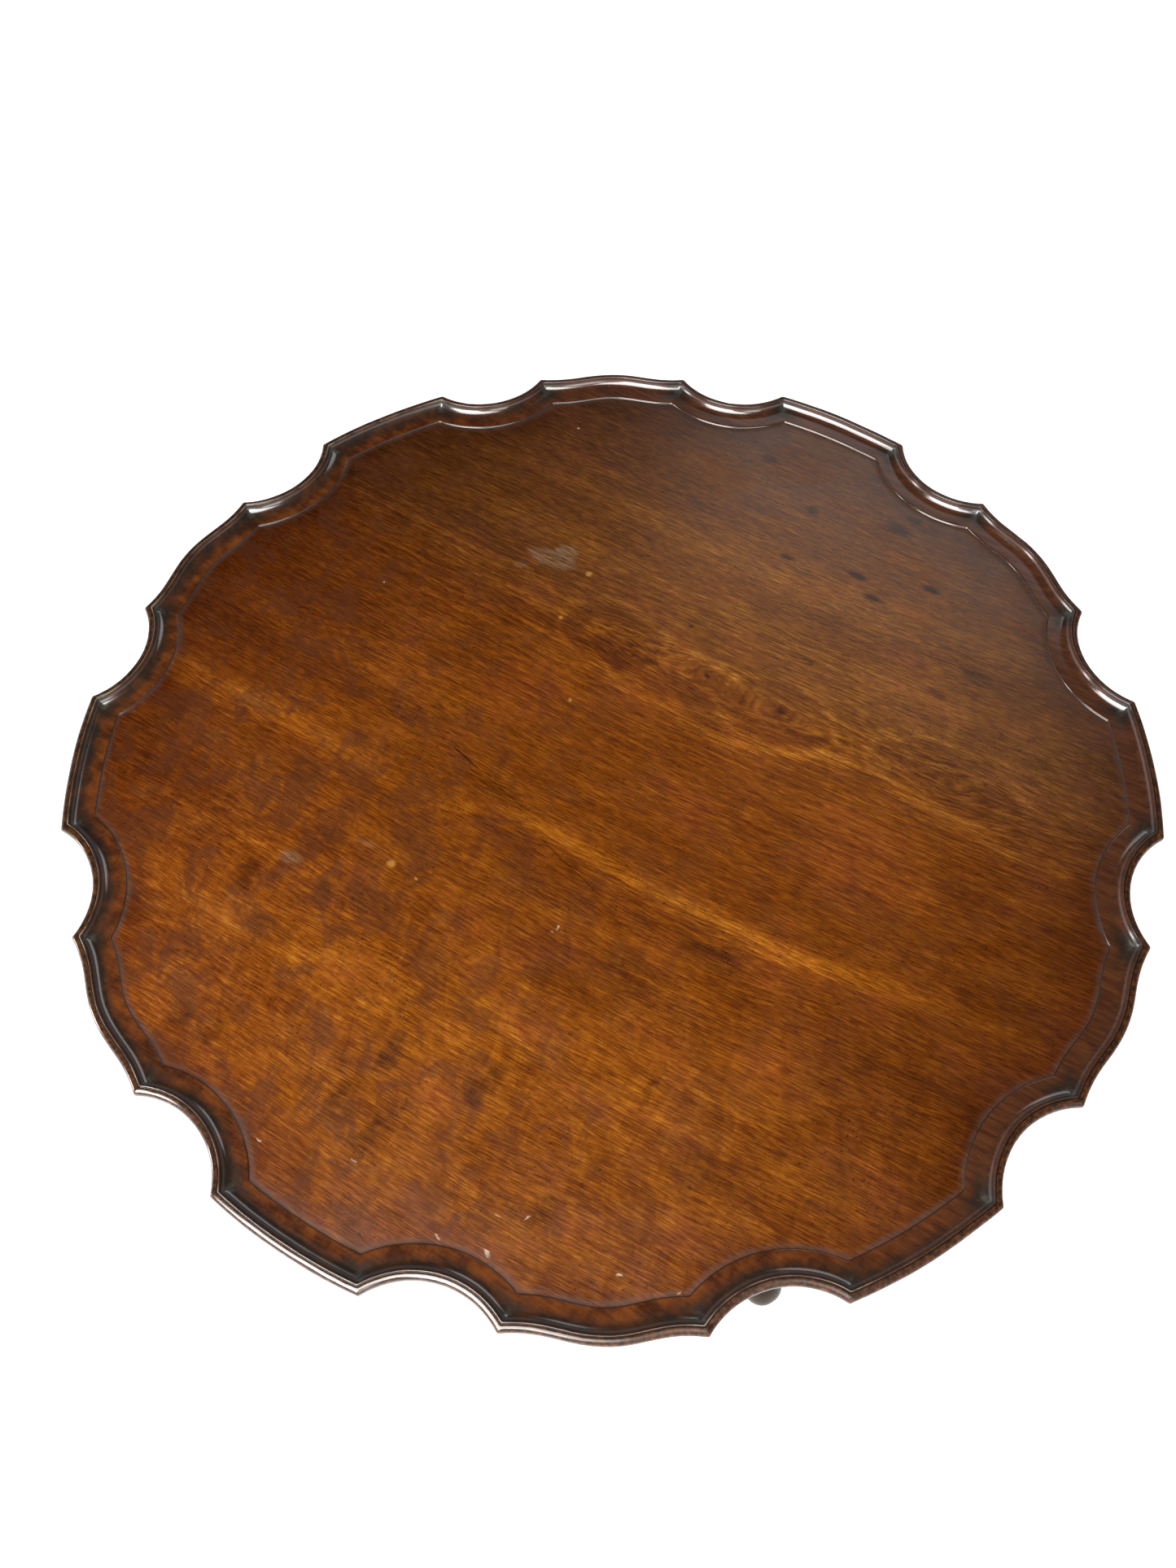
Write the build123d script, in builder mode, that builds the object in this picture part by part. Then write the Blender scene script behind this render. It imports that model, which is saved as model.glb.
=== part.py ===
from build123d import *
import os
from math import cos, radians, sin, sqrt

# Tilt top tea table: a dished top with a carved scalloped rim, hinged on a block
# that stands on a turned pillar with three cabriole legs.
# Millimetres. Z is up, and the origin is on the floor under the pillar's axis.
# The board's grain runs along X, and the top tilts about a line parallel to X.

# ---------------------------------------------------------------- driving dimensions
HEIGHT = 700.0  # floor to the crest of the rim
TOP_DIAMETER = 860.0  # across two opposite long edges of the rim
BOARD_THICKNESS = 24.0  # crest of the rim to the underside
RIM_RISE = 9.0  # field to the crest of the rim
RIM_WIDTH = 24.0  # outer edge to the step down to the field
PIVOT_SETBACK = 80.0  # pivot's distance in front of the pillar's axis
TILT_GAP = 0.3  # between the block's top and the underside of the board

# Rim outline: six bows with long plain edges between them, joined by scoops
SECTORS = 6
SECTOR_ANGLE = 360.0 / SECTORS
EDGE_RADIUS = TOP_DIAMETER / 2
CUSP_RADIUS = 0.9913 * EDGE_RADIUS  # where a bow meets a scoop
BOW_CUSP_ANGLE = 9.2  # from the bow's middle, in degrees
EDGE_CUSP_ANGLE = 21.75
CROWN_REACH = 1.0028 * CUSP_RADIUS  # the bow's middle, from the top's centre
CROWN_RADIUS = 0.245 * CUSP_RADIUS
CROWN_HALF_WIDTH = 0.065 * CUSP_RADIUS
SCOOP_RADIUS = 0.1504 * CUSP_RADIUS

# Rim moulding, as insets from the outer edge and depths below the crest
LIP_WIDTH = 5.6  # outer edge to the crest
LIP_DEPTH = 7.5
LAND_WIDTH = 0.4  # flat arris on the crest
QUIRK_WIDTH = 0.5
QUIRK_DEPTH = 1.0
COVE_END = 15.0  # inset where the cove runs out
COVE_DEPTH = 7.5
BAND_DEPTH = 8.0  # at the foot of the flat band, above the step to the field
HOLLOW_START = 1.5  # inset of the hollow under the lip
HOLLOW_START_DEPTH = 8.5
HOLLOW_END = 9.0  # inset at the underside
QUARTER_TURN = (0.0, 22.5, 45.0, 67.5, 90.0)  # stations round each quarter curve
TOOL_CLEARANCE = 2.0  # how far a cutting form runs past the face that it cuts

# Heights of the board and the parts that meet it
UNDERSIDE = HEIGHT - BOARD_THICKNESS
BLOCK_TOP = UNDERSIDE - TILT_GAP

# Block and pivot
BLOCK_WIDTH = 190.0
BLOCK_THICKNESS = 32.0
BLOCK_BACK = 95.0  # back face, from the pillar's axis
BLOCK_BEVEL = 3.0
BLOCK_BOTTOM = BLOCK_TOP - BLOCK_THICKNESS
NOSE_RADIUS = BLOCK_THICKNESS / 2
PIVOT_Y = -PIVOT_SETBACK
PIVOT_Z = BLOCK_TOP - NOSE_RADIUS
BLOCK_FRONT = PIVOT_Y - NOSE_RADIUS
PIN_RADIUS = 8.0
PIN_CLEARANCE = 0.05
PIN_IN_BLOCK = 30.0
PIN_BEVEL = 1.0

# Bearers
BEARER_WIDTH = 34.0
BEARER_DEPTH = 34.0
BEARER_LENGTH = 640.0
BEARER_END_DEPTH = 16.0
BEARER_TAPER = 90.0  # length of each sloping end
BEARER_GAP = 1.0  # between the block's side and a bearer
BEARER_INNER = BLOCK_WIDTH / 2 + BEARER_GAP
BEARER_MIDDLE = BEARER_INNER + BEARER_WIDTH / 2
BEARER_EASE = 2.0
BEARER_SCREW_Y = (-200.0, 20.0, 200.0)
BEARER_BORE_RADIUS = 5.4
BEARER_BORE_DEPTH = 14.0

# Screws: head radius, head depth, shank radius, length
BEARER_SCREW = (4.6, 3.6, 2.3, 28.0)
PLATE_SCREW = (3.0, 1.6, 1.5, 11.0)
KEEPER_SCREW = (2.6, 1.3, 1.3, 14.0)
SPIDER_SCREW = (4.2, 2.4, 2.1, 22.0)
RIVET = (2.2, 1.0, 1.4, 7.0)
SLOT_WIDTH = 0.9
SLOT_DEPTH = 0.9
TIP_LENGTH = 3.0

# Pillar
TENON_RADIUS = 23.0
WEDGE_TOP = 7.0  # thickness
WEDGE_BOTTOM = 2.4
WEDGE_LENGTH = 26.0
BASE_RADIUS = 44.0
BASE_BOTTOM = 128.0
BASE_TOP = 246.0
# Turned profile above the base, as (radius, height) points
BASE_RING = ((38.0, BASE_TOP), (41.0, 253.0), (38.0, 260.0))
VASE_FOOT = ((31.0, 260.0), (31.0, 264.0))
LOWER_NECK = ((26.0, 272.0), (28.0, 282.0))
VASE_BELLY = ((45.0, 338.0), (34.0, 386.0), (24.0, 408.0))
VASE_SLOPES = ((0.6, 1.0), (-0.25, 1.0))
UPPER_RING_FOOT = ((24.0, 412.0), (31.0, 412.0))
UPPER_RING = ((34.0, 417.0), (31.0, 422.0))
STEM_FOOT = ((27.0, 422.0), (27.0, 426.0))
STEM = ((26.0, 490.0), (21.0, 596.0))
STEM_SLOPES = ((0.05, 1.0), (0.0, 1.0))
COLLAR = ((26.0, 596.0), (29.0, 600.0), (26.0, 604.0))
UPPER_NECK = ((23.0, 604.0), (26.5, 621.0), (36.0, 629.0))
SHOULDER = ((36.0, 632.0), (42.0, 632.0), (42.0, BLOCK_BOTTOM))

# Dovetails of the legs
TAIL_ROOT = 28.0  # back of the tail, from the pillar's axis
TAIL_HEIGHT = 97.0
TAIL_HALF_BACK = 12.0
TAIL_HALF_NECK = 7.0
TAIL_INTO_LEG = 6.0

# Legs: upper (reach, height), lower (reach, height), width and corner radius of each station
LEG_AZIMUTHS = {"leg_back": 91.7, "leg_left": 211.7, "leg_right": 331.7}
LEG_STATIONS = (
    ((30.0, 237.0), (30.0, 120.0), 38.0, 6.0),
    ((60.0, 242.0), (62.0, 120.0), 40.0, 8.0),
    ((95.0, 239.0), (88.0, 124.0), 42.0, 11.0),
    ((129.0, 222.0), (108.0, 135.0), 42.0, 13.0),
    ((161.0, 194.0), (128.0, 132.0), 40.0, 14.0),
    ((190.0, 158.0), (154.0, 110.0), 38.0, 14.0),
    ((217.0, 120.0), (183.0, 79.0), 35.0, 14.0),
    ((244.0, 87.0), (215.0, 51.0), 32.0, 13.0),
    ((270.0, 62.0), (247.0, 31.5), 29.5, 12.5),
    ((296.0, 47.0), (271.0, 20.5), 29.0, 12.5),
    ((317.0, 39.0), (284.5, 14.0), 33.0, 15.0),
    ((337.0, 31.0), (291.0, 10.0), 39.5, 18.0),
    ((350.5, 20.5), (294.0, 6.5), 44.0, 20.5),
    ((357.0, 8.5), (295.5, 4.0), 45.5, 21.0),
    ((355.5, -2.0), (298.0, -2.0), 43.0, 20.0),
)
FOOT_CUT = 40.0  # depth of the form that trims the feet level with the floor

# Iron spider under the pillar
SPIDER_THICKNESS = 3.0
SPIDER_HUB_RADIUS = 32.0
SPIDER_ARM_REACH = 92.0
SPIDER_ARM_WIDTH = 22.0
SPIDER_INNER_SCREW = 16.0
SPIDER_OUTER_SCREW = 80.0
SEAT_REACH = 100.0  # how far out the legs' undersides are cut flat for the arms

# Brass catch
CATCH_Z = 663.5  # bolt's middle
CATCH_FRONT = BLOCK_BACK + 3.0
PLATE_THICKNESS = 2.0
PLATE_WIDTH = 52.0
PLATE_LENGTH = 64.0
PLATE_SCREW_INSET = 7.0
CASE_WIDTH = 24.0
CASE_LENGTH = 54.0
CASE_BOTTOM = 656.0
CASE_TOP = UNDERSIDE - PLATE_THICKNESS
CASE_WALL = 4.0
CASE_EASE = 1.5
BOLT_WIDTH = 14.0
BOLT_HEIGHT = 6.8
BOLT_LENGTH = 38.0
BOLT_BEVEL_LENGTH = 7.0
BOLT_BEVEL_HEIGHT = 4.4
BOLT_TRAVEL = 9.0
BOLT_CLEARANCE = 0.1
KNOB_STEM_RADIUS = 2.0
KNOB_IN_BOLT = 4.0
KNOB_RADIUS = 5.5
KNOB_COLLAR_RADIUS = 3.6
KNOB_COLLAR_HEIGHT = 1.6
KNOB_NECK_RADIUS = 2.4
KNOB_GAP = 0.5  # under the case
KNOB_DROP = 9.5  # collar to the ball's middle
KNOB_Y = CATCH_FRONT + 26.0
SLOT_SIDE_GAP = 0.5
SLOT_END_GAP = 1.0
SPRING_RADIUS = 2.6
SPRING_WIRE = 0.4
SPRING_TURNS = 6
RIVET_Y = (CATCH_FRONT + 10.0, CATCH_FRONT + 44.0)

# Keeper in the block's back edge
KEEPER_WIDTH = 44.0
KEEPER_HEIGHT = 20.0
KEEPER_THICKNESS = 1.6
KEEPER_HOLE_WIDTH = 15.0
KEEPER_HOLE_HEIGHT = 8.0
KEEPER_SCREW_X = 16.5
MORTISE_DEPTH = 13.0

os.makedirs("parts", exist_ok=True)


def save(piece, label):
    """Names a finished piece and writes it to its own file."""
    piece.part.label = label
    export_step(piece.part, f"parts/{label}.step")


# ---------------------------------------------------------------- rim outline
def polar_point(reach, angle):
    return Vector(reach, 0, 0).rotate(Axis.Z, angle)


def mirrored(point):
    """The point on the other side of a bow's middle line."""
    return Vector(point.X, -point.Y, 0)


def meeting_point(centre_a, radius_a, centre_b, radius_b, near):
    """Where two circles cross, on the side that is nearer to a given point."""
    gap = centre_b - centre_a
    along = (gap.length**2 + radius_a**2 - radius_b**2) / (2 * gap.length)
    across = sqrt(radius_a**2 - along**2)
    foot = centre_a + gap.normalized() * along
    side = Vector(-gap.Y, gap.X, 0).normalized() * across
    return min((foot + side, foot - side), key=lambda point: (point - near).length)


TOP_CENTRE = Vector(0, 0, 0)
BOW_CUSP = polar_point(CUSP_RADIUS, BOW_CUSP_ANGLE)
EDGE_CUSP = polar_point(EDGE_RADIUS, EDGE_CUSP_ANGLE)
CROWN_CENTRE = Vector(CROWN_REACH - CROWN_RADIUS, 0, 0)
CROWN_SIDE = Vector(sqrt(CROWN_RADIUS**2 - CROWN_HALF_WIDTH**2), CROWN_HALF_WIDTH, 0).normalized()
CROWN_END = CROWN_CENTRE + CROWN_SIDE * CROWN_RADIUS
# the flank leaves the crown without a corner and runs hollow to the bow's cusp
FLANK_CHORD = CROWN_END - BOW_CUSP
FLANK_RADIUS = -(FLANK_CHORD.length**2) / (2 * CROWN_SIDE.dot(FLANK_CHORD))
FLANK_CENTRE = CROWN_END + CROWN_SIDE * FLANK_RADIUS
SCOOP_CHORD = EDGE_CUSP - BOW_CUSP
SCOOP_OUTWARD = Vector(SCOOP_CHORD.Y, -SCOOP_CHORD.X, 0).normalized()
SCOOP_OFFSET = sqrt(SCOOP_RADIUS**2 - (SCOOP_CHORD.length / 2) ** 2)
SCOOP_CENTRE = (BOW_CUSP + EDGE_CUSP) * 0.5 + SCOOP_OUTWARD * SCOOP_OFFSET


def arc_about(start, end, centre, turn):
    """An arc of under half a turn from start to end, turned about the top's centre."""
    radius = (start - centre).length
    middle = centre + ((start + end) * 0.5 - centre).normalized() * radius
    ThreePointArc(*(point.rotate(Axis.Z, turn) for point in (start, middle, end)))


def rim_line(inset):
    """The rim's outline moved inward by inset, its arcs kept concentric and its cusps sharp."""
    scoop = SCOOP_RADIUS + inset
    crown_end = CROWN_CENTRE + CROWN_SIDE * (CROWN_RADIUS - inset)
    bow_cusp = meeting_point(FLANK_CENTRE, FLANK_RADIUS + inset, SCOOP_CENTRE, scoop, BOW_CUSP)
    edge_cusp = meeting_point(TOP_CENTRE, EDGE_RADIUS - inset, SCOOP_CENTRE, scoop, EDGE_CUSP)
    next_edge_cusp = mirrored(edge_cusp).rotate(Axis.Z, SECTOR_ANGLE)
    for sector in range(SECTORS):
        turn = sector * SECTOR_ANGLE
        arc_about(mirrored(edge_cusp), mirrored(bow_cusp), mirrored(SCOOP_CENTRE), turn)
        arc_about(mirrored(bow_cusp), mirrored(crown_end), mirrored(FLANK_CENTRE), turn)
        arc_about(mirrored(crown_end), crown_end, CROWN_CENTRE, turn)
        arc_about(crown_end, bow_cusp, FLANK_CENTRE, turn)
        arc_about(bow_cusp, edge_cusp, SCOOP_CENTRE, turn)
        arc_about(edge_cusp, next_edge_cusp, TOP_CENTRE, turn)


def rim_face(inset, depth):
    """A level section of the rim form, at a depth below the crest."""
    with BuildSketch(Plane.XY.offset(HEIGHT - depth)) as section:
        with BuildLine():
            rim_line(inset)
        make_face()
    return section.sketch


def quarter_curve(turn, start, end):
    """A point (inset, depth) on a quarter ellipse that leaves start upright and ends level."""
    inset = start[0] + (end[0] - start[0]) * (1 - cos(radians(turn)))
    depth = start[1] + (end[1] - start[1]) * sin(radians(turn))
    return inset, depth


def loft_quarter(start, end):
    """The stretch of the form between two ends of a quarter curve."""
    loft([rim_face(*quarter_curve(turn, start, end)) for turn in QUARTER_TURN])


def loft_straight(start, end):
    """The stretch of the form between two levels, straight in section."""
    loft([rim_face(*start), rim_face(*end)], ruled=True)


# ---------------------------------------------------------------- screws
def screw_form(size, slotted):
    """A countersunk screw or rivet: its head's face is at the origin, its point towards +Z."""
    head_radius, head_depth, shank_radius, length = size
    with BuildPart() as screw:
        with BuildSketch(Plane.XZ):
            with BuildLine():
                Polyline(
                    (0, 0),
                    (head_radius, 0),
                    (shank_radius, head_depth),
                    (shank_radius, length - TIP_LENGTH),
                    (shank_radius / 2, length),
                    (0, length),
                    close=True,
                )
            make_face()
        revolve(axis=Axis.Z)
        if slotted:
            with BuildSketch(Plane.XY):
                Rectangle(2 * head_radius, SLOT_WIDTH)
            extrude(amount=SLOT_DEPTH, mode=Mode.SUBTRACT)
    return screw.part


def screw_group(size, places, label, slotted=True):
    """Identical screws at several places, as separate solids of one piece."""
    with BuildPart() as group:
        with Locations(*places):
            add(screw_form(size, slotted))
    save(group, label)


BEARER_HEAD_Z = UNDERSIDE - BEARER_DEPTH + BEARER_BORE_DEPTH
BEARER_SCREW_PLACES = {
    "bearer_left": [Location((-BEARER_MIDDLE, y, BEARER_HEAD_Z)) for y in BEARER_SCREW_Y],
    "bearer_right": [Location((BEARER_MIDDLE, y, BEARER_HEAD_Z)) for y in BEARER_SCREW_Y],
}
ALL_BEARER_SCREWS = BEARER_SCREW_PLACES["bearer_left"] + BEARER_SCREW_PLACES["bearer_right"]
PLATE_MIDDLE_Y = CATCH_FRONT + PLATE_LENGTH / 2
PLATE_SCREW_PLACES = [
    Location((
        side * (PLATE_WIDTH / 2 - PLATE_SCREW_INSET),
        PLATE_MIDDLE_Y + end * (PLATE_LENGTH / 2 - PLATE_SCREW_INSET),
        CASE_TOP,
    ))
    for side in (-1, 1)
    for end in (-1, 1)
]
# the rivets' heads are let into the plate's upper face, and their shanks point down
RIVET_PLACES = [Location((0, y, UNDERSIDE), (180, 0, 0)) for y in RIVET_Y]
KEEPER_SCREW_PLACES = [
    Location(Plane(origin=(side * KEEPER_SCREW_X, BLOCK_BACK, CATCH_Z), z_dir=(0, -1, 0)))
    for side in (-1, 1)
]
SPIDER_BOTTOM = BASE_BOTTOM - SPIDER_THICKNESS
SPIDER_SCREW_PLACES = {
    name: [
        Location(polar_point(reach, azimuth) + Vector(0, 0, SPIDER_BOTTOM))
        for reach in (SPIDER_INNER_SCREW, SPIDER_OUTER_SCREW)
    ]
    for name, azimuth in LEG_AZIMUTHS.items()
}
ALL_SPIDER_SCREWS = [place for places in SPIDER_SCREW_PLACES.values() for place in places]

screw_group(BEARER_SCREW, ALL_BEARER_SCREWS, "bearer_screws")
screw_group(PLATE_SCREW, PLATE_SCREW_PLACES, "catch_screws")
screw_group(RIVET, RIVET_PLACES, "catch_rivets", slotted=False)
screw_group(KEEPER_SCREW, KEEPER_SCREW_PLACES, "keeper_screws")
screw_group(SPIDER_SCREW, ALL_SPIDER_SCREWS, "spider_screws")


# ---------------------------------------------------------------- board
def dish_form():
    """What is carved out of the board: quirk, cove, flat band, step and field."""
    crest = LIP_WIDTH + LAND_WIDTH
    cove_start = (crest + QUIRK_WIDTH, QUIRK_DEPTH)
    cove_end = (COVE_END, COVE_DEPTH)
    step_top = (RIM_WIDTH, BAND_DEPTH)
    with BuildPart() as dish:
        loft_straight((RIM_WIDTH, RIM_RISE), step_top)
        loft_straight(step_top, cove_end)
        loft_quarter(cove_start, cove_end)
        loft_straight(cove_start, (crest, 0))
        loft_straight((crest, 0), (crest, -TOOL_CLEARANCE))
    return dish.part


with BuildPart() as top_board:
    # the hollow ends upright at the underside and level under the lip
    loft_quarter((HOLLOW_END, BOARD_THICKNESS), (HOLLOW_START, HOLLOW_START_DEPTH))
    loft_straight((HOLLOW_START, HOLLOW_START_DEPTH), (0, LIP_DEPTH))
    loft_quarter((0, LIP_DEPTH), (LIP_WIDTH, 0))
    add(dish_form(), mode=Mode.SUBTRACT)
    with Locations(*ALL_BEARER_SCREWS):
        add(screw_form(BEARER_SCREW, False), mode=Mode.SUBTRACT)
    with Locations(*PLATE_SCREW_PLACES):
        add(screw_form(PLATE_SCREW, False), mode=Mode.SUBTRACT)
save(top_board, "top_board")

# ---------------------------------------------------------------- bearers
BEARER_HALF = BEARER_LENGTH / 2
BEARER_FLAT = BEARER_HALF - BEARER_TAPER


def make_bearer(side, label):
    """A batten along Y with sloping ends, bored for the pivot pin and for its screws."""
    with BuildPart() as bearer:
        with BuildSketch(Plane.YZ.offset(side * BEARER_MIDDLE - BEARER_WIDTH / 2)):
            with BuildLine():
                Polyline(
                    (-BEARER_HALF, UNDERSIDE),
                    (BEARER_HALF, UNDERSIDE),
                    (BEARER_HALF, UNDERSIDE - BEARER_END_DEPTH),
                    (BEARER_FLAT, UNDERSIDE - BEARER_DEPTH),
                    (-BEARER_FLAT, UNDERSIDE - BEARER_DEPTH),
                    (-BEARER_HALF, UNDERSIDE - BEARER_END_DEPTH),
                    close=True,
                )
            make_face()
        extrude(amount=BEARER_WIDTH)
        long_edges = bearer.edges().filter_by(Axis.Y).group_by(Axis.Z)[0]
        chamfer(long_edges, BEARER_EASE)
        with BuildSketch(Plane.YZ.offset(side * BEARER_MIDDLE - BEARER_WIDTH / 2)):
            with Locations((PIVOT_Y, PIVOT_Z)):
                Circle(PIN_RADIUS + PIN_CLEARANCE)
        extrude(amount=BEARER_WIDTH, mode=Mode.SUBTRACT)
        with BuildSketch(Plane.XY.offset(UNDERSIDE - BEARER_DEPTH)):
            with Locations(*[(side * BEARER_MIDDLE, y) for y in BEARER_SCREW_Y]):
                Circle(BEARER_BORE_RADIUS)
        extrude(amount=BEARER_BORE_DEPTH, mode=Mode.SUBTRACT)
        with Locations(*BEARER_SCREW_PLACES[label]):
            add(screw_form(BEARER_SCREW, False), mode=Mode.SUBTRACT)
    save(bearer, label)


make_bearer(-1, "bearer_left")
make_bearer(1, "bearer_right")

# ---------------------------------------------------------------- block and pivot pins
KEEPER_PLANE = Plane(origin=(0, BLOCK_BACK, CATCH_Z), x_dir=(1, 0, 0), z_dir=(0, 1, 0))

with BuildPart() as block:
    with BuildSketch(Plane.YZ.offset(-BLOCK_WIDTH / 2)):
        with BuildLine():
            # the front's upper corner is rounded about the pivot, so the board can turn over it
            nose = CenterArc((PIVOT_Y, PIVOT_Z), NOSE_RADIUS, 90, 90)
            Polyline(
                nose @ 1,
                (BLOCK_FRONT, BLOCK_BOTTOM),
                (BLOCK_BACK, BLOCK_BOTTOM),
                (BLOCK_BACK, BLOCK_TOP),
                nose @ 0,
            )
        make_face()
    extrude(amount=BLOCK_WIDTH)
    chamfer(block.faces().sort_by(Axis.Z)[0].edges(), BLOCK_BEVEL)
    with BuildSketch(Plane.XY.offset(BLOCK_BOTTOM)):
        Circle(TENON_RADIUS)
    extrude(amount=BLOCK_THICKNESS, mode=Mode.SUBTRACT)
    for side in (-1, 1):
        pin_mouth = Plane(origin=(side * BLOCK_WIDTH / 2, PIVOT_Y, PIVOT_Z), z_dir=(-side, 0, 0))
        with BuildSketch(pin_mouth):
            Circle(PIN_RADIUS)
        extrude(amount=PIN_IN_BLOCK, mode=Mode.SUBTRACT)
    with BuildSketch(KEEPER_PLANE):
        Rectangle(KEEPER_WIDTH, KEEPER_HEIGHT)
    extrude(amount=-KEEPER_THICKNESS, mode=Mode.SUBTRACT)
    with BuildSketch(KEEPER_PLANE):
        Rectangle(KEEPER_HOLE_WIDTH, KEEPER_HOLE_HEIGHT)
    extrude(amount=-MORTISE_DEPTH, mode=Mode.SUBTRACT)
    with Locations(*KEEPER_SCREW_PLACES):
        add(screw_form(KEEPER_SCREW, False), mode=Mode.SUBTRACT)
save(block, "block")

with BuildPart() as keeper_plate:
    with BuildSketch(KEEPER_PLANE):
        Rectangle(KEEPER_WIDTH, KEEPER_HEIGHT)
        Rectangle(KEEPER_HOLE_WIDTH, KEEPER_HOLE_HEIGHT, mode=Mode.SUBTRACT)
    extrude(amount=-KEEPER_THICKNESS)
    with Locations(*KEEPER_SCREW_PLACES):
        add(screw_form(KEEPER_SCREW, False), mode=Mode.SUBTRACT)
save(keeper_plate, "keeper_plate")


def make_pivot_pin(side, label):
    """A turned wooden pin, glued in the block and free to turn in the bearer."""
    start = side * (BLOCK_WIDTH / 2 - PIN_IN_BLOCK)
    with BuildPart() as pin:
        with BuildSketch(Plane(origin=(start, PIVOT_Y, PIVOT_Z), z_dir=(side, 0, 0))):
            Circle(PIN_RADIUS)
        extrude(amount=PIN_IN_BLOCK + BEARER_GAP + BEARER_WIDTH)
        chamfer(pin.edges().filter_by(GeomType.CIRCLE), PIN_BEVEL)
    save(pin, label)


make_pivot_pin(-1, "pivot_pin_left")
make_pivot_pin(1, "pivot_pin_right")

# ---------------------------------------------------------------- pillar
with BuildPart() as tenon_wedge:
    with BuildSketch(Plane.XZ.offset(-TENON_RADIUS)):
        with BuildLine():
            Polyline(
                (-WEDGE_TOP / 2, BLOCK_TOP),
                (WEDGE_TOP / 2, BLOCK_TOP),
                (WEDGE_BOTTOM / 2, BLOCK_TOP - WEDGE_LENGTH),
                (-WEDGE_BOTTOM / 2, BLOCK_TOP - WEDGE_LENGTH),
                close=True,
            )
        make_face()
    extrude(amount=2 * TENON_RADIUS)
    with BuildSketch(Plane.XY.offset(BLOCK_BOTTOM)):
        Circle(TENON_RADIUS)
    extrude(amount=BLOCK_THICKNESS, mode=Mode.INTERSECT)
save(tenon_wedge, "tenon_wedge")


def tail_form(azimuth, into_leg):
    """The dovetail of one leg: wider at the back than at the pillar's surface."""
    plane = Plane(origin=(0, 0, BASE_BOTTOM), x_dir=polar_point(1, azimuth), z_dir=(0, 0, 1))
    reach = BASE_RADIUS + into_leg
    with BuildPart() as tail:
        with BuildSketch(plane):
            with BuildLine():
                Polyline(
                    (TAIL_ROOT, -TAIL_HALF_BACK),
                    (BASE_RADIUS, -TAIL_HALF_NECK),
                    (reach, -TAIL_HALF_NECK),
                    (reach, TAIL_HALF_NECK),
                    (BASE_RADIUS, TAIL_HALF_NECK),
                    (TAIL_ROOT, TAIL_HALF_BACK),
                    close=True,
                )
            make_face()
        extrude(amount=TAIL_HEIGHT)
    return tail.part


with BuildPart() as pillar:
    with BuildSketch(Plane.XZ):
        with BuildLine():
            foot = Polyline((0, BASE_BOTTOM), (BASE_RADIUS, BASE_BOTTOM), (BASE_RADIUS, BASE_TOP))
            Line(foot @ 1, BASE_RING[0])
            base_ring = ThreePointArc(*BASE_RING)
            vase_foot = Polyline(base_ring @ 1, *VASE_FOOT)
            lower_neck = ThreePointArc(vase_foot @ 1, *LOWER_NECK)
            vase = Spline(lower_neck @ 1, *VASE_BELLY, tangents=VASE_SLOPES)
            upper_ring_foot = Polyline(vase @ 1, *UPPER_RING_FOOT)
            upper_ring = ThreePointArc(upper_ring_foot @ 1, *UPPER_RING)
            stem_foot = Polyline(upper_ring @ 1, *STEM_FOOT)
            stem = Spline(stem_foot @ 1, *STEM, tangents=STEM_SLOPES)
            Line(stem @ 1, COLLAR[0])
            collar = ThreePointArc(*COLLAR)
            Line(collar @ 1, UPPER_NECK[0])
            upper_neck = ThreePointArc(*UPPER_NECK)
            Polyline(
                upper_neck @ 1,
                *SHOULDER,
                (TENON_RADIUS, BLOCK_BOTTOM),
                (TENON_RADIUS, BLOCK_TOP),
                (0, BLOCK_TOP),
                (0, BASE_BOTTOM),
            )
        make_face()
    revolve(axis=Axis.Z)
    for azimuth in LEG_AZIMUTHS.values():
        add(tail_form(azimuth, TAIL_INTO_LEG), mode=Mode.SUBTRACT)
    add(tenon_wedge.part, mode=Mode.SUBTRACT)
    with Locations(*ALL_SPIDER_SCREWS):
        add(screw_form(SPIDER_SCREW, False), mode=Mode.SUBTRACT)
save(pillar, "pillar")


# ---------------------------------------------------------------- legs
def leg_station(azimuth, upper, lower, width, corner):
    """A section across the leg, between a point of its upper edge and one of its lower edge."""
    outward = polar_point(1, azimuth)
    sideways = polar_point(1, azimuth + 90)
    top_point = outward * upper[0] + Vector(0, 0, upper[1])
    low_point = outward * lower[0] + Vector(0, 0, lower[1])
    upward = top_point - low_point
    plane = Plane(
        origin=(top_point + low_point) * 0.5,
        x_dir=sideways,
        z_dir=sideways.cross(upward),
    )
    with BuildSketch(plane) as section:
        RectangleRounded(width, upward.length, corner)
    return section.sketch


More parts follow.
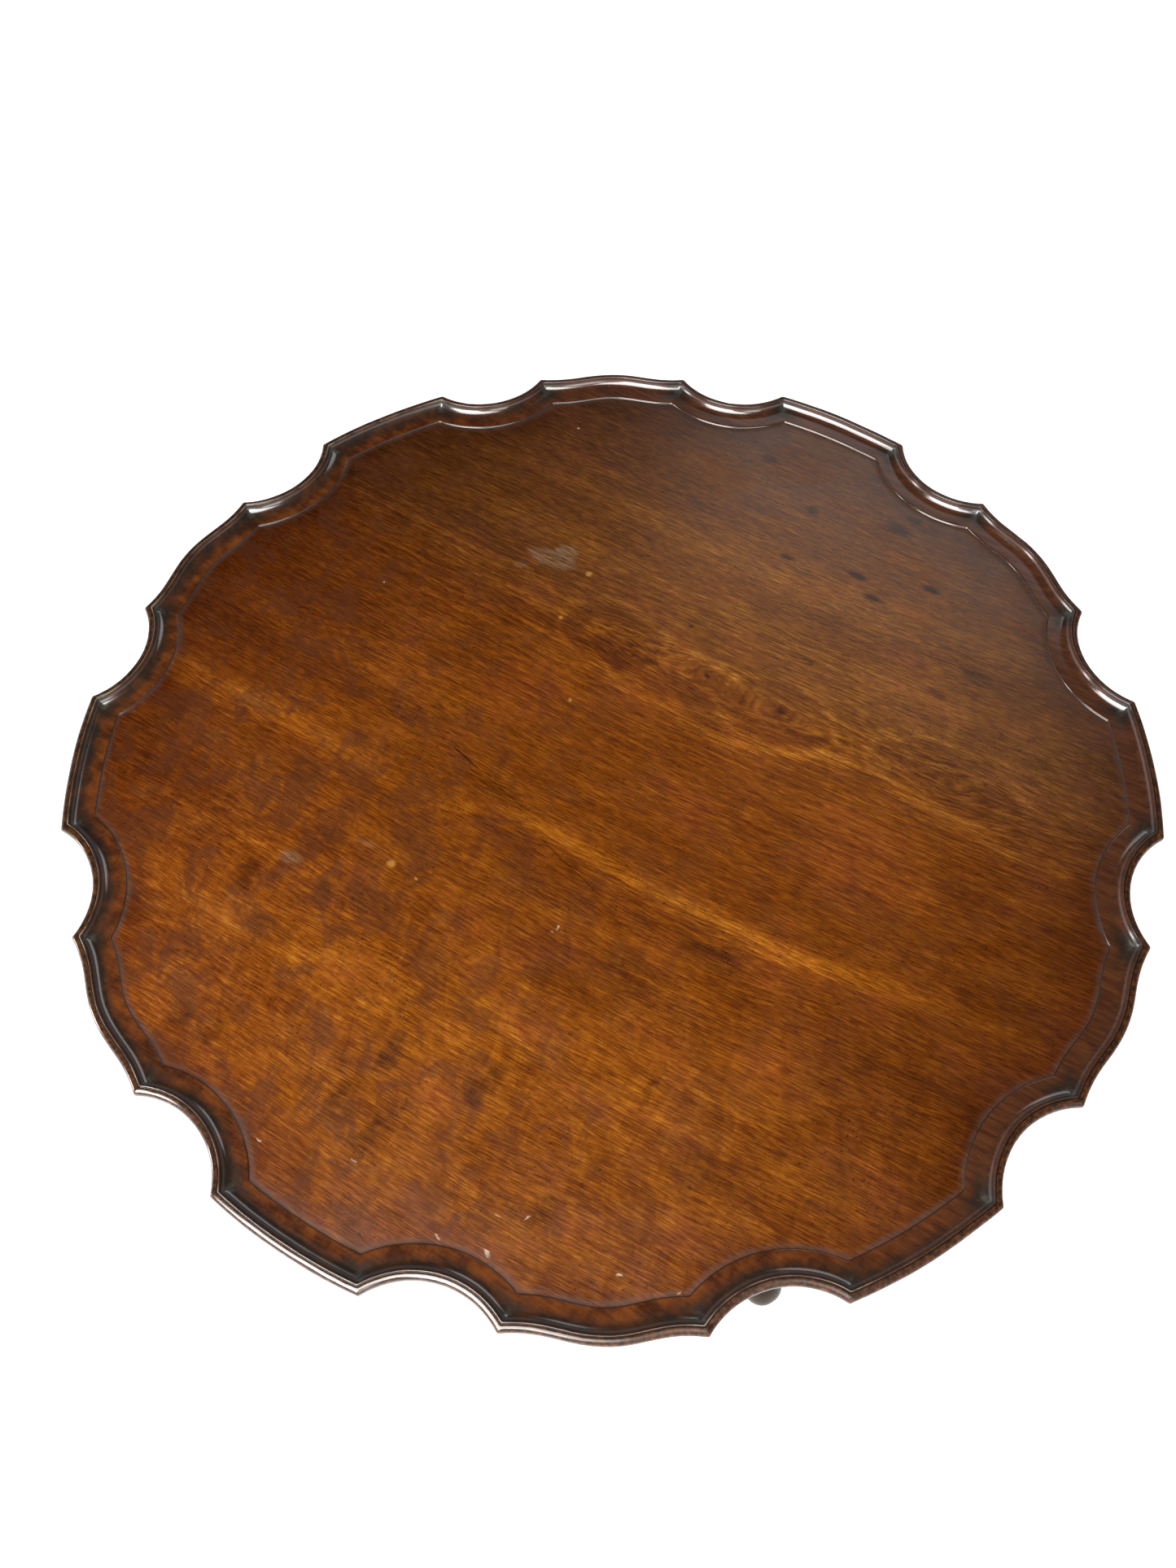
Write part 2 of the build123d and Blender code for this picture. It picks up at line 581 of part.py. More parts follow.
def make_leg(azimuth, label):
    """A cabriole leg with a rounded toe, its shoulder hollowed to fit the pillar."""
    seat = Plane(origin=(0, 0, BASE_BOTTOM), x_dir=polar_point(1, azimuth), z_dir=(0, 0, -1))
    with BuildPart() as leg:
        loft([leg_station(azimuth, *station) for station in LEG_STATIONS])
        with BuildSketch(Plane.XY.offset(-FOOT_CUT)):
            Circle(EDGE_RADIUS)
        extrude(amount=FOOT_CUT, mode=Mode.SUBTRACT)
        with BuildSketch(Plane.XY):
            Circle(BASE_RADIUS)
        extrude(amount=HEIGHT, mode=Mode.SUBTRACT)
        with BuildSketch(seat):
            with Locations((SEAT_REACH / 2, 0)):
                Rectangle(SEAT_REACH, 2 * BASE_RADIUS)
        extrude(amount=FOOT_CUT / 2, mode=Mode.SUBTRACT)
        add(tail_form(azimuth, TAIL_INTO_LEG))
        with Locations(*SPIDER_SCREW_PLACES[label]):
            add(screw_form(SPIDER_SCREW, False), mode=Mode.SUBTRACT)
    save(leg, label)


for leg_name, leg_azimuth in LEG_AZIMUTHS.items():
    make_leg(leg_azimuth, leg_name)

# ---------------------------------------------------------------- spider plate
with BuildPart() as spider_plate:
    for azimuth in LEG_AZIMUTHS.values():
        arm_plane = Plane(origin=(0, 0, SPIDER_BOTTOM), x_dir=polar_point(1, azimuth), z_dir=(0, 0, 1))
        with BuildSketch(arm_plane):
            with Locations((SPIDER_ARM_REACH / 2 - SPIDER_ARM_WIDTH / 4, 0)):
                Rectangle(SPIDER_ARM_REACH - SPIDER_ARM_WIDTH / 2, SPIDER_ARM_WIDTH)
            with Locations((SPIDER_ARM_REACH - SPIDER_ARM_WIDTH / 2, 0)):
                Circle(SPIDER_ARM_WIDTH / 2)
        extrude(amount=SPIDER_THICKNESS)
    with BuildSketch(Plane.XY.offset(SPIDER_BOTTOM)):
        Circle(SPIDER_HUB_RADIUS)
    extrude(amount=SPIDER_THICKNESS)
    with Locations(*ALL_SPIDER_SCREWS):
        add(screw_form(SPIDER_SCREW, False), mode=Mode.SUBTRACT)
save(spider_plate, "spider_plate")

# ---------------------------------------------------------------- catch
with BuildPart() as catch_plate:
    with BuildSketch(Plane.XY.offset(CASE_TOP)):
        with Locations((0, PLATE_MIDDLE_Y)):
            RectangleRounded(PLATE_WIDTH, PLATE_LENGTH, PLATE_SCREW_INSET)
    extrude(amount=PLATE_THICKNESS)
    with Locations(*PLATE_SCREW_PLACES):
        add(screw_form(PLATE_SCREW, False), mode=Mode.SUBTRACT)
    with Locations(*RIVET_PLACES):
        add(screw_form(RIVET, False), mode=Mode.SUBTRACT)
save(catch_plate, "catch_plate")

CATCH_SECTION = Plane(origin=(0, CATCH_FRONT, CATCH_Z), x_dir=(1, 0, 0), z_dir=(0, -1, 0))
CASE_CAVITY_LENGTH = CASE_LENGTH - CASE_WALL
KNOB_SLOT_LENGTH = BOLT_TRAVEL + 2 * (KNOB_STEM_RADIUS + SLOT_END_GAP)
KNOB_SLOT_WIDTH = 2 * (KNOB_STEM_RADIUS + SLOT_SIDE_GAP)

with BuildPart() as catch_case:
    with BuildSketch(Plane.XY.offset(CASE_BOTTOM)):
        with Locations((0, CATCH_FRONT + CASE_LENGTH / 2)):
            Rectangle(CASE_WIDTH, CASE_LENGTH)
    extrude(amount=CASE_TOP - CASE_BOTTOM)
    fillet(catch_case.faces().sort_by(Axis.Z)[0].edges(), CASE_EASE)
    with BuildSketch(CATCH_SECTION):
        Rectangle(BOLT_WIDTH + 2 * BOLT_CLEARANCE, BOLT_HEIGHT + 2 * BOLT_CLEARANCE)
    extrude(amount=-CASE_CAVITY_LENGTH, mode=Mode.SUBTRACT)
    with BuildSketch(Plane.XY.offset(CASE_BOTTOM)):
        with Locations((0, KNOB_Y - BOLT_TRAVEL / 2)):
            SlotOverall(KNOB_SLOT_LENGTH, KNOB_SLOT_WIDTH, rotation=90)
    extrude(amount=CATCH_Z - CASE_BOTTOM, mode=Mode.SUBTRACT)
    with Locations(*RIVET_PLACES):
        add(screw_form(RIVET, False), mode=Mode.SUBTRACT)
save(catch_case, "catch_case")

BOLT_TOP = CATCH_Z + BOLT_HEIGHT / 2
BOLT_BOTTOM = CATCH_Z - BOLT_HEIGHT / 2
BOLT_TAIL = CATCH_FRONT + BOLT_LENGTH

with BuildPart() as catch_bolt:
    # drawn right back into its case; the nose is bevelled below, where it rides over the block
    with BuildSketch(Plane.YZ.offset(-BOLT_WIDTH / 2)):
        with BuildLine():
            Polyline(
                (CATCH_FRONT, BOLT_TOP),
                (BOLT_TAIL, BOLT_TOP),
                (BOLT_TAIL, BOLT_BOTTOM),
                (CATCH_FRONT + BOLT_BEVEL_LENGTH, BOLT_BOTTOM),
                (CATCH_FRONT, BOLT_BOTTOM + BOLT_BEVEL_HEIGHT),
                close=True,
            )
        make_face()
    extrude(amount=BOLT_WIDTH)
    with BuildSketch(Plane.XY.offset(BOLT_BOTTOM)):
        with Locations((0, KNOB_Y)):
            Circle(KNOB_STEM_RADIUS)
    extrude(amount=KNOB_IN_BOLT, mode=Mode.SUBTRACT)
save(catch_bolt, "catch_bolt")

COLLAR_TOP = CASE_BOTTOM - KNOB_GAP
COLLAR_BOTTOM = COLLAR_TOP - KNOB_COLLAR_HEIGHT
KNOB_MIDDLE = COLLAR_TOP - KNOB_DROP
KNOB_NECK_Z = KNOB_MIDDLE + sqrt(KNOB_RADIUS**2 - KNOB_NECK_RADIUS**2)

with BuildPart() as catch_knob:
    with BuildSketch(Plane(origin=(0, KNOB_Y, 0), x_dir=(1, 0, 0), z_dir=(0, -1, 0))):
        with BuildLine():
            Polyline(
                (0, BOLT_BOTTOM + KNOB_IN_BOLT),
                (KNOB_STEM_RADIUS, BOLT_BOTTOM + KNOB_IN_BOLT),
                (KNOB_STEM_RADIUS, COLLAR_TOP),
                (KNOB_COLLAR_RADIUS, COLLAR_TOP),
                (KNOB_COLLAR_RADIUS, COLLAR_BOTTOM),
                (KNOB_NECK_RADIUS, COLLAR_BOTTOM),
                (KNOB_NECK_RADIUS, KNOB_NECK_Z),
            )
            ThreePointArc(
                (KNOB_NECK_RADIUS, KNOB_NECK_Z),
                (KNOB_RADIUS, KNOB_MIDDLE),
                (0, KNOB_MIDDLE - KNOB_RADIUS),
            )
            Line((0, KNOB_MIDDLE - KNOB_RADIUS), (0, BOLT_BOTTOM + KNOB_IN_BOLT))
        make_face()
    revolve(axis=Axis((0, KNOB_Y, 0), (0, 0, 1)))
save(catch_knob, "catch_knob")

# the spring fills the case behind the bolt's tail, its wire just clear of both ends
SPRING_SPACE = CASE_CAVITY_LENGTH - BOLT_LENGTH
SPRING_LENGTH = SPRING_SPACE - 4 * SPRING_WIRE
SPRING_START = Vector(0, BOLT_TAIL + 2 * SPRING_WIRE, CATCH_Z)

with BuildPart() as catch_spring:
    with BuildLine() as coil:
        Helix(SPRING_LENGTH / SPRING_TURNS, SPRING_LENGTH, SPRING_RADIUS, SPRING_START, (0, 1, 0))
    with BuildSketch(Plane(origin=coil.line @ 0, z_dir=coil.line % 0)):
        Circle(SPRING_WIRE)
    sweep()
save(catch_spring, "catch_spring")
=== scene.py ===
from math import atan2, cos, hypot, pi, radians, sin, sqrt

import bpy
from mathutils import Matrix, Quaternion, Vector, geometry, noise


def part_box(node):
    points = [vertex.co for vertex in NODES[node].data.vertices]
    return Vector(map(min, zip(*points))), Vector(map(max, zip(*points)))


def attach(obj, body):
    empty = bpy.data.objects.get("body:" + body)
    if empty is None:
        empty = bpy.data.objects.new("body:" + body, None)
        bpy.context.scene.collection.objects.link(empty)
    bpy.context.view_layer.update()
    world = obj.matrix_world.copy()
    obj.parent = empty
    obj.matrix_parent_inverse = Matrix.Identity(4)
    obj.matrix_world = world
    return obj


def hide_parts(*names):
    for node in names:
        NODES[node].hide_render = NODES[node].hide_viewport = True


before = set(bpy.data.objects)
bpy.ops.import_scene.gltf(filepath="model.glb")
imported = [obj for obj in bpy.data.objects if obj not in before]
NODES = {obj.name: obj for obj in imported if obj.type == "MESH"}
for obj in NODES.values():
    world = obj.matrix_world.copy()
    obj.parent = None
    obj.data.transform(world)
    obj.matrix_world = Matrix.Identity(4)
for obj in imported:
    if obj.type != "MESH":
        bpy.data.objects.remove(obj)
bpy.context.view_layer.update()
MM = 0.001

# ---------------------------------------------------------------- camera and light
CAMERA_PLACE = Vector((0.2659, -0.4493, 1.6047))
CAMERA_TARGET = Vector((-0.0040, -0.0247, 0.700))
CAMERA_ROLL = -1.753  # degrees
LENS = 30.344  # mm
SENSOR = 36.0  # mm along the picture's long side


def make_camera():
    data = bpy.data.cameras.new("camera")
    data.lens = LENS
    data.sensor_width = SENSOR
    data.sensor_fit = "AUTO"
    camera = bpy.data.objects.new("camera", data)
    camera.location = CAMERA_PLACE
    aim = (CAMERA_TARGET - CAMERA_PLACE).to_track_quat("-Z", "Y")
    roll = Quaternion((0, 0, 1), radians(CAMERA_ROLL))
    camera.rotation_euler = (aim @ roll).to_euler()
    bpy.context.scene.collection.objects.link(camera)
    bpy.context.scene.camera = camera


def soft_light(name, place, aim_at, size, power, colour):
    """A rectangular studio light that faces a point."""
    data = bpy.data.lights.new(name, "AREA")
    data.shape = "RECTANGLE"
    data.size, data.size_y = size
    data.energy = power
    data.color = colour
    light = bpy.data.objects.new(name, data)
    light.location = place
    light.rotation_euler = (Vector(aim_at) - Vector(place)).to_track_quat("-Z", "Y").to_euler()
    bpy.context.scene.collection.objects.link(light)


WARM, NEUTRAL, COOL = (1.0, 0.97, 0.93), (1.0, 0.98, 0.95), (0.96, 0.98, 1.0)
TABLE_MIDDLE = (0, 0, 0.6)
FAR_FIELD = (0, 0.3, 0.69)
# studio lights: name, place, point that it faces, size in m, power in W, colour
LIGHTS = [
    ("near_key", (-0.1, -1.45, 1.85), TABLE_MIDDLE, (1.3, 0.8), 38, WARM),
    ("over_camera", (0.1, -1.1, 2.6), TABLE_MIDDLE, (1.7, 1.1), 44, NEUTRAL),
    ("near_right", (2.0, -1.6, 2.2), TABLE_MIDDLE, (1.2, 1.4), 16, NEUTRAL),
    ("far_window", (-0.2, 2.2, 2.5), FAR_FIELD, (1.5, 0.9), 6.4, COOL),
    ("low_left", (-2.6, -2.0, 1.1), TABLE_MIDDLE, (0.5, 1.2), 16, NEUTRAL),
]
SKY_COLOUR = (0.93, 0.96, 1.0)
# the surroundings' strength: from, to, strength at from, strength at to
SKY_BY_HEIGHT = (0.1, 0.55, 0.9, 0.02)
SKY_BY_DEPTH = (-0.3, 0.5, 1.0, 0.3)
FLOOR_REACH = 12.0
FLOOR_TONE = 0.93
FLOOR_GLOW = 0.8
FLOOR_ROUGHNESS = 0.9


def smooth_range(tree, source, numbers):
    """Goes smoothly from one strength to another as its source goes from one number to another."""
    node = tree.nodes.new("ShaderNodeMapRange")
    node.interpolation_type = "SMOOTHSTEP"
    for key, number in zip(("From Min", "From Max", "To Min", "To Max"), numbers):
        node.inputs[key].default_value = number
    tree.links.new(source, node.inputs["Value"])
    return node.outputs[0]


def make_lights():
    """Soft lights round the table, in surroundings that are brightest low down and on the near side."""
    scene = bpy.context.scene
    scene.view_settings.view_transform = "Standard"
    world = bpy.data.worlds.new("studio")
    world.use_nodes = True
    tree = world.node_tree
    background = tree.nodes["Background"]
    parts = tree.nodes.new("ShaderNodeSeparateXYZ")
    tree.links.new(tree.nodes.new("ShaderNodeTexCoord").outputs["Generated"], parts.inputs[0])
    both = tree.nodes.new("ShaderNodeMath")
    both.operation = "MULTIPLY"
    tree.links.new(smooth_range(tree, parts.outputs["Z"], SKY_BY_HEIGHT), both.inputs[0])
    tree.links.new(smooth_range(tree, parts.outputs["Y"], SKY_BY_DEPTH), both.inputs[1])
    tree.links.new(both.outputs[0], background.inputs["Strength"])
    background.inputs["Color"].default_value = (*SKY_COLOUR, 1)
    scene.world = world
    for light in LIGHTS:
        soft_light(*light)


def make_floor():
    mesh = bpy.data.meshes.new("floor")
    corners = [(FLOOR_REACH * x, FLOOR_REACH * y, 0) for x, y in ((-1, -1), (1, -1), (1, 1), (-1, 1))]
    mesh.from_pydata(corners, [], [(0, 1, 2, 3)])
    floor = bpy.data.objects.new("floor", mesh)
    material = bpy.data.materials.new("floor")
    material.use_nodes = True
    shader = material.node_tree.nodes["Principled BSDF"]
    shader.inputs["Base Color"].default_value = (FLOOR_TONE, FLOOR_TONE, FLOOR_TONE, 1)
    shader.inputs["Roughness"].default_value = FLOOR_ROUGHNESS
    shader.inputs["Emission Color"].default_value = (1, 1, 1, 1)
    shader.inputs["Emission Strength"].default_value = FLOOR_GLOW
    mesh.materials.append(material)
    bpy.context.scene.collection.objects.link(floor)


# ---------------------------------------------------------------- outline of the rim, in millimetres
LOWEST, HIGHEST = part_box("top_board")
CREST = HIGHEST[2] / MM
UNDERSIDE = LOWEST[2] / MM
EDGE_RADIUS = HIGHEST[1] / MM
CROWN_REACH = HIGHEST[0] / MM
CUSP_RADIUS = 0.9913 * EDGE_RADIUS
BOW_CUSP_ANGLE = 9.2
EDGE_CUSP_ANGLE = 21.75
CROWN_RADIUS = 0.245 * CUSP_RADIUS
CROWN_HALF_WIDTH = 0.065 * CUSP_RADIUS
SCOOP_RADIUS = 0.1504 * CUSP_RADIUS
SECTORS = 6
SCOOP_POINTS, FLANK_POINTS, CROWN_POINTS, EDGE_POINTS = 28, 10, 8, 30
CUSP_CROWDING = 0.86  # how much closer the points stand beside a cusp
CUSP_WEAR = 3  # rounds of smoothing that take the sharpness off the cusps
CUSP_REACH = 40  # how far along the outline a cusp's grime and wear reach
FIELD_DEPTH = 9.0  # the dished field under the crest
BOARD_DEPTH = 24.0  # the underside under the crest
MOULDING_END = 38  # inset at which the carver's unevenness has died away
UNEVEN_WIDTH = 12
STEP_INSET = 24.2  # from here inward the profile belongs to the field
FIELD_NET, UNDERSIDE_NET = 11.0, 11.5  # spacing of the points inside the rim
INNER_RUN = 60.0  # the run of every point inside the rim, negative on the underside
PLANE_WIDTH = 46  # one stroke of the plane on the underside
PLANE_DEPTH = 0.22


def polar(reach, angle):
    return Vector((reach * cos(radians(angle)), reach * sin(radians(angle))))


def turned(point, angle):
    return Matrix.Rotation(radians(angle), 2) @ point


def mirrored(point):
    return Vector((point.x, -point.y))


def meeting_point(centre_a, radius_a, centre_b, radius_b, near):
    """Where two circles cross, on the side that is nearer to a given point."""
    gap = centre_b - centre_a
    along = (gap.length_squared + radius_a**2 - radius_b**2) / (2 * gap.length)
    across = sqrt(radius_a**2 - along**2)
    foot = centre_a + gap.normalized() * along
    side = gap.orthogonal().normalized() * across
    return min((foot + side, foot - side), key=lambda point: (point - near).length)


TOP_CENTRE = Vector((0, 0))
BOW_CUSP = polar(CUSP_RADIUS, BOW_CUSP_ANGLE)
EDGE_CUSP = polar(EDGE_RADIUS, EDGE_CUSP_ANGLE)
CROWN_CENTRE = Vector((CROWN_REACH - CROWN_RADIUS, 0))
CROWN_SIDE = Vector((sqrt(CROWN_RADIUS**2 - CROWN_HALF_WIDTH**2), CROWN_HALF_WIDTH)).normalized()
CROWN_END = CROWN_CENTRE + CROWN_SIDE * CROWN_RADIUS
FLANK_CHORD = CROWN_END - BOW_CUSP
FLANK_RADIUS = -FLANK_CHORD.length_squared / (2 * CROWN_SIDE.dot(FLANK_CHORD))
FLANK_CENTRE = CROWN_END + CROWN_SIDE * FLANK_RADIUS
SCOOP_CHORD = EDGE_CUSP - BOW_CUSP
SCOOP_OUTWARD = Vector((SCOOP_CHORD.y, -SCOOP_CHORD.x)).normalized()
SCOOP_OFFSET = sqrt(SCOOP_RADIUS**2 - SCOOP_CHORD.length_squared / 4)
SCOOP_CENTRE = (BOW_CUSP + EDGE_CUSP) / 2 + SCOOP_OUTWARD * SCOOP_OFFSET


def arc_points(start, end, centre, count, crowded):
    """Points along the short arc from start, without its end, crowded towards its cusps."""
    first = atan2(start.y - centre.y, start.x - centre.x)
    turn = (atan2(end.y - centre.y, end.x - centre.x) - first + pi) % (2 * pi) - pi
    radius = (start - centre).length
    points = []
    for step in range(count):
        part = step / count
        if crowded == "both":
            part -= CUSP_CROWDING * sin(2 * pi * part) / (2 * pi)
        elif crowded == "start":
            part = (1 - CUSP_CROWDING) * part + CUSP_CROWDING * part**2
        elif crowded == "end":
            part = (1 + CUSP_CROWDING) * part - CUSP_CROWDING * part**2
        angle = first + turn * part
        points.append(centre + radius * Vector((cos(angle), sin(angle))))
    return points


def rim_ring(inset):
    """The rim's outline moved inward by inset: the same number of points for every inset."""
    scoop = SCOOP_RADIUS + inset
    crown_end = CROWN_CENTRE + CROWN_SIDE * (CROWN_RADIUS - inset)
    bow_cusp = meeting_point(FLANK_CENTRE, FLANK_RADIUS + inset, SCOOP_CENTRE, scoop, BOW_CUSP)
    edge_cusp = meeting_point(TOP_CENTRE, EDGE_RADIUS - inset, SCOOP_CENTRE, scoop, EDGE_CUSP)
    next_cusp = turned(mirrored(edge_cusp), 360 / SECTORS)
    arcs = (
        (mirrored(edge_cusp), mirrored(bow_cusp), mirrored(SCOOP_CENTRE), SCOOP_POINTS, "both"),
        (mirrored(bow_cusp), mirrored(crown_end), mirrored(FLANK_CENTRE), FLANK_POINTS, "start"),
        (mirrored(crown_end), crown_end, CROWN_CENTRE, CROWN_POINTS, ""),
        (crown_end, bow_cusp, FLANK_CENTRE, FLANK_POINTS, "end"),
        (bow_cusp, edge_cusp, SCOOP_CENTRE, SCOOP_POINTS, "both"),
        (edge_cusp, next_cusp, TOP_CENTRE, EDGE_POINTS, "both"),
    )
    sector = [point for arc in arcs for point in arc_points(*arc)]
    ring = [turned(point, 360 / SECTORS * number) for number in range(SECTORS) for point in sector]
    for _ in range(CUSP_WEAR):
        ring = [(ring[i - 1] + 2 * ring[i] + ring[(i + 1) % len(ring)]) / 4 for i in range(len(ring))]
    return ring


def cusp_closeness():
    """For each point of a ring, 1 at a cusp, falling to 0 away from it."""
    ring = rim_ring(0)
    marks = []
    for number in range(SECTORS):
        for cusp in (BOW_CUSP, mirrored(BOW_CUSP), EDGE_CUSP, mirrored(EDGE_CUSP)):
            marks.append(turned(cusp, 360 / SECTORS * number))
    return [max(0.0, 1 - min((point - mark).length for mark in marks) / CUSP_REACH) for point in ring]


# ---------------------------------------------------------------- board
def quarter(start, end, steps, fullness=1.0):
    """Points on a quarter curve that leaves start upright and ends level; fuller under 1."""
    points = []
    for step in range(steps + 1):
        turn = pi / 2 * step / steps
        inset = start[0] + (end[0] - start[0]) * (1 - cos(turn) ** fullness)
        depth = start[1] + (end[1] - start[1]) * sin(turn) ** fullness
        points.append((inset, depth))
    return points


def rim_profile():
    """Across the moulding: (inset, depth under the crest, run), run being negative under the lip."""
    hollow = quarter((9.0, BOARD_DEPTH), (1.6, 8.7), 9)
    nose = [(0.9, 8.3), (0.35, 7.7), (0.06, 6.9), (0.0, 6.0)]
    lip = quarter((0.0, 5.2), (4.6, 0.42), 10, 0.86)
    quirk = [(4.85, 0.5), (5.0, 0.85), (5.15, 1.15), (5.4, 1.15), (5.55, 0.75), (5.68, 0.25)]
    arris = [(5.82, 0.04), (6.1, 0.0), (6.3, 0.1)]
    cove = quarter((6.45, 0.45), (15.0, 7.5), 14)
    band = [(15.6, 7.52), (17.5, 7.6), (20.0, 7.72), (22.5, 7.86), (23.5, 7.93)]
    step = [(23.75, 7.99), (23.95, 8.14), (24.1, 8.4), (24.3, 8.72), (24.55, 8.92),
            (25.0, FIELD_DEPTH)]
    field = [(26.5, 9.02), (29.0, 9.02), (33.0, FIELD_DEPTH), (38.0, FIELD_DEPTH)]
    under = [(9.3, BOARD_DEPTH), *hollow, *nose]
    over = [*lip, *quirk, *arris, *cove, *band, *step, *field]
    return [(i, d, -i - d) for i, d in under] + [(i, d, i) for i, d in over]


def wander(x, y, size, seed):
    """Smooth noise from -1 to 1 over the board, with lumps of about the given size in mm."""
    return noise.noise(Vector((x / size, y / size, seed)))


def carved(x, y, inset, depth):
    """A point of the moulding moved as the carver's hand and two centuries of wear moved it."""
    hold = max(0.0, min(1.0, (MOULDING_END - inset) / UNEVEN_WIDTH))
    inward = 0.5 + 0.5 * wander(x, y, 55, 3.1) + 0.16 * wander(x, y, 14, 8.7)
    length = hypot(x, y)
    x -= x / length * inward * hold
    y -= y / length * inward * hold
    lip = max(0.0, 1 - abs(inset - 3.5) / 3.5) if depth < 7 else 0.0
    dent = max(0.0, wander(x, y, 9, 21.3) - 0.42) * 3.0 + max(0.0, wander(x, y, 4, 5.3) - 0.5) * 1.6
    wave = 0.10 * wander(x, y, 35, 12.2) + 0.05 * wander(x, y, 8, 17.9)
    drop = max(0.0, 0.1 + wave) + lip * dent
    if inset > STEP_INSET and depth < 10:
        drop = field_drop(x, y)
    elif depth > 20:
        drop = 0.0
    return x, y, CREST - depth - drop


def field_drop(x, y):
    """How far the dished field lies below its nominal plane, in mm."""
    return 0.16 + 0.13 * wander(x, y, 130, 31.0) + 0.05 * wander(x, y, 34, 40.0)


def planed_rise(x, y):
    """How far a plane's shallow hollows rise above the flat of the underside, in mm."""
    across = y + 10 * wander(x, y, 300, 51.0)
    stroke = 0.5 - 0.5 * cos(2 * pi * across / PLANE_WIDTH)
    return PLANE_DEPTH * stroke * (0.7 + 0.3 * wander(x, y, 90, 57.0))


ROW_PITCH = 0.866  # between the rows of a net of even triangles, over its spacing


def fill_inside(vertices, faces, ring, spacing, height, flip):
    """Closes a ring of vertices with an even net of triangles at a height that varies over it."""
    edge = [Vector(vertices[i][:2]) for i in ring]
    reach = min(point.length for point in edge) - spacing
    rows = int(reach / spacing / ROW_PITCH) + 1
    inner = []
    for row in range(-rows, rows + 1):
        for column in range(-rows - 1, rows + 2):
            point = Vector(((column + 0.5 * (row % 2)) * spacing, row * spacing * ROW_PITCH))
            if point.length < reach:
                inner.append(point)
    loop = [(i, (i + 1) % len(edge)) for i in range(len(edge))]
    flat, _, triangles, origin, _, _ = geometry.delaunay_2d_cdt(edge + inner, loop, [], 1, 1e-7)
    number = {}
    for index, sources in enumerate(origin):
        if sources and sources[0] < len(edge):
            number[index] = ring[sources[0]]
        else:
            number[index] = len(vertices)
            vertices.append((flat[index].x, flat[index].y, height(flat[index].x, flat[index].y)))
    for triangle in triangles:
        corners = [number[i] for i in triangle]
        faces.append(corners[::-1] if flip else corners)


STEP_RUN = 24.4  # the field's material begins here
FIRST_RUN = 33.2  # and the underside's at minus this run


def make_board():
    """The piecrust top: carved rim, dished field and planed underside as one closed mesh."""
    profile = rim_profile()
    closeness = cusp_closeness()
    vertices, faces, runs, cusps = [], [], [], []
    for inset, depth, run in profile:
        for index, point in enumerate(rim_ring(inset)):
            vertices.append(carved(point.x, point.y, inset, depth))
            runs.append(run)
            cusps.append(closeness[index])
    size = len(closeness)
    for row in range(len(profile) - 1):
        for i in range(size):
            j = (i + 1) % size
            faces.append((row * size + i, row * size + j, (row + 1) * size + j, (row + 1) * size + i))
    last = (len(profile) - 1) * size
    fill_inside(vertices, faces, range(last, last + size), FIELD_NET,
                lambda x, y: CREST - FIELD_DEPTH - field_drop(x, y), False)
    runs += [INNER_RUN] * (len(vertices) - len(runs))
    fill_inside(vertices, faces, range(size), UNDERSIDE_NET,
                lambda x, y: UNDERSIDE + planed_rise(x, y), True)
    runs += [-INNER_RUN] * (len(vertices) - len(runs))
    cusps += [0.0] * (len(vertices) - len(cusps))
    mesh = bpy.data.meshes.new("piecrust_top")
    mesh.from_pydata([tuple(MM * c for c in v) for v in vertices], [], faces)
    mesh.polygons.foreach_set("use_smooth", [True] * len(mesh.polygons))
    # three surfaces: 0 the field, 1 the moulding, 2 the underside
    lowest = [min(runs[i] for i in face) for face in faces]
    surfaces = [0 if run > STEP_RUN else 1 if run > -FIRST_RUN else 2 for run in lowest]
    mesh.polygons.foreach_set("material_index", surfaces)
    for name, values in (("run", runs), ("cusp", cusps)):
        mesh.attributes.new(name, "FLOAT", "POINT").data.foreach_set("value", values)
    board = bpy.data.objects.new("piecrust_top", mesh)
    bpy.context.scene.collection.objects.link(board)
    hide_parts("top_board")
    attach(board, "top")
    return board


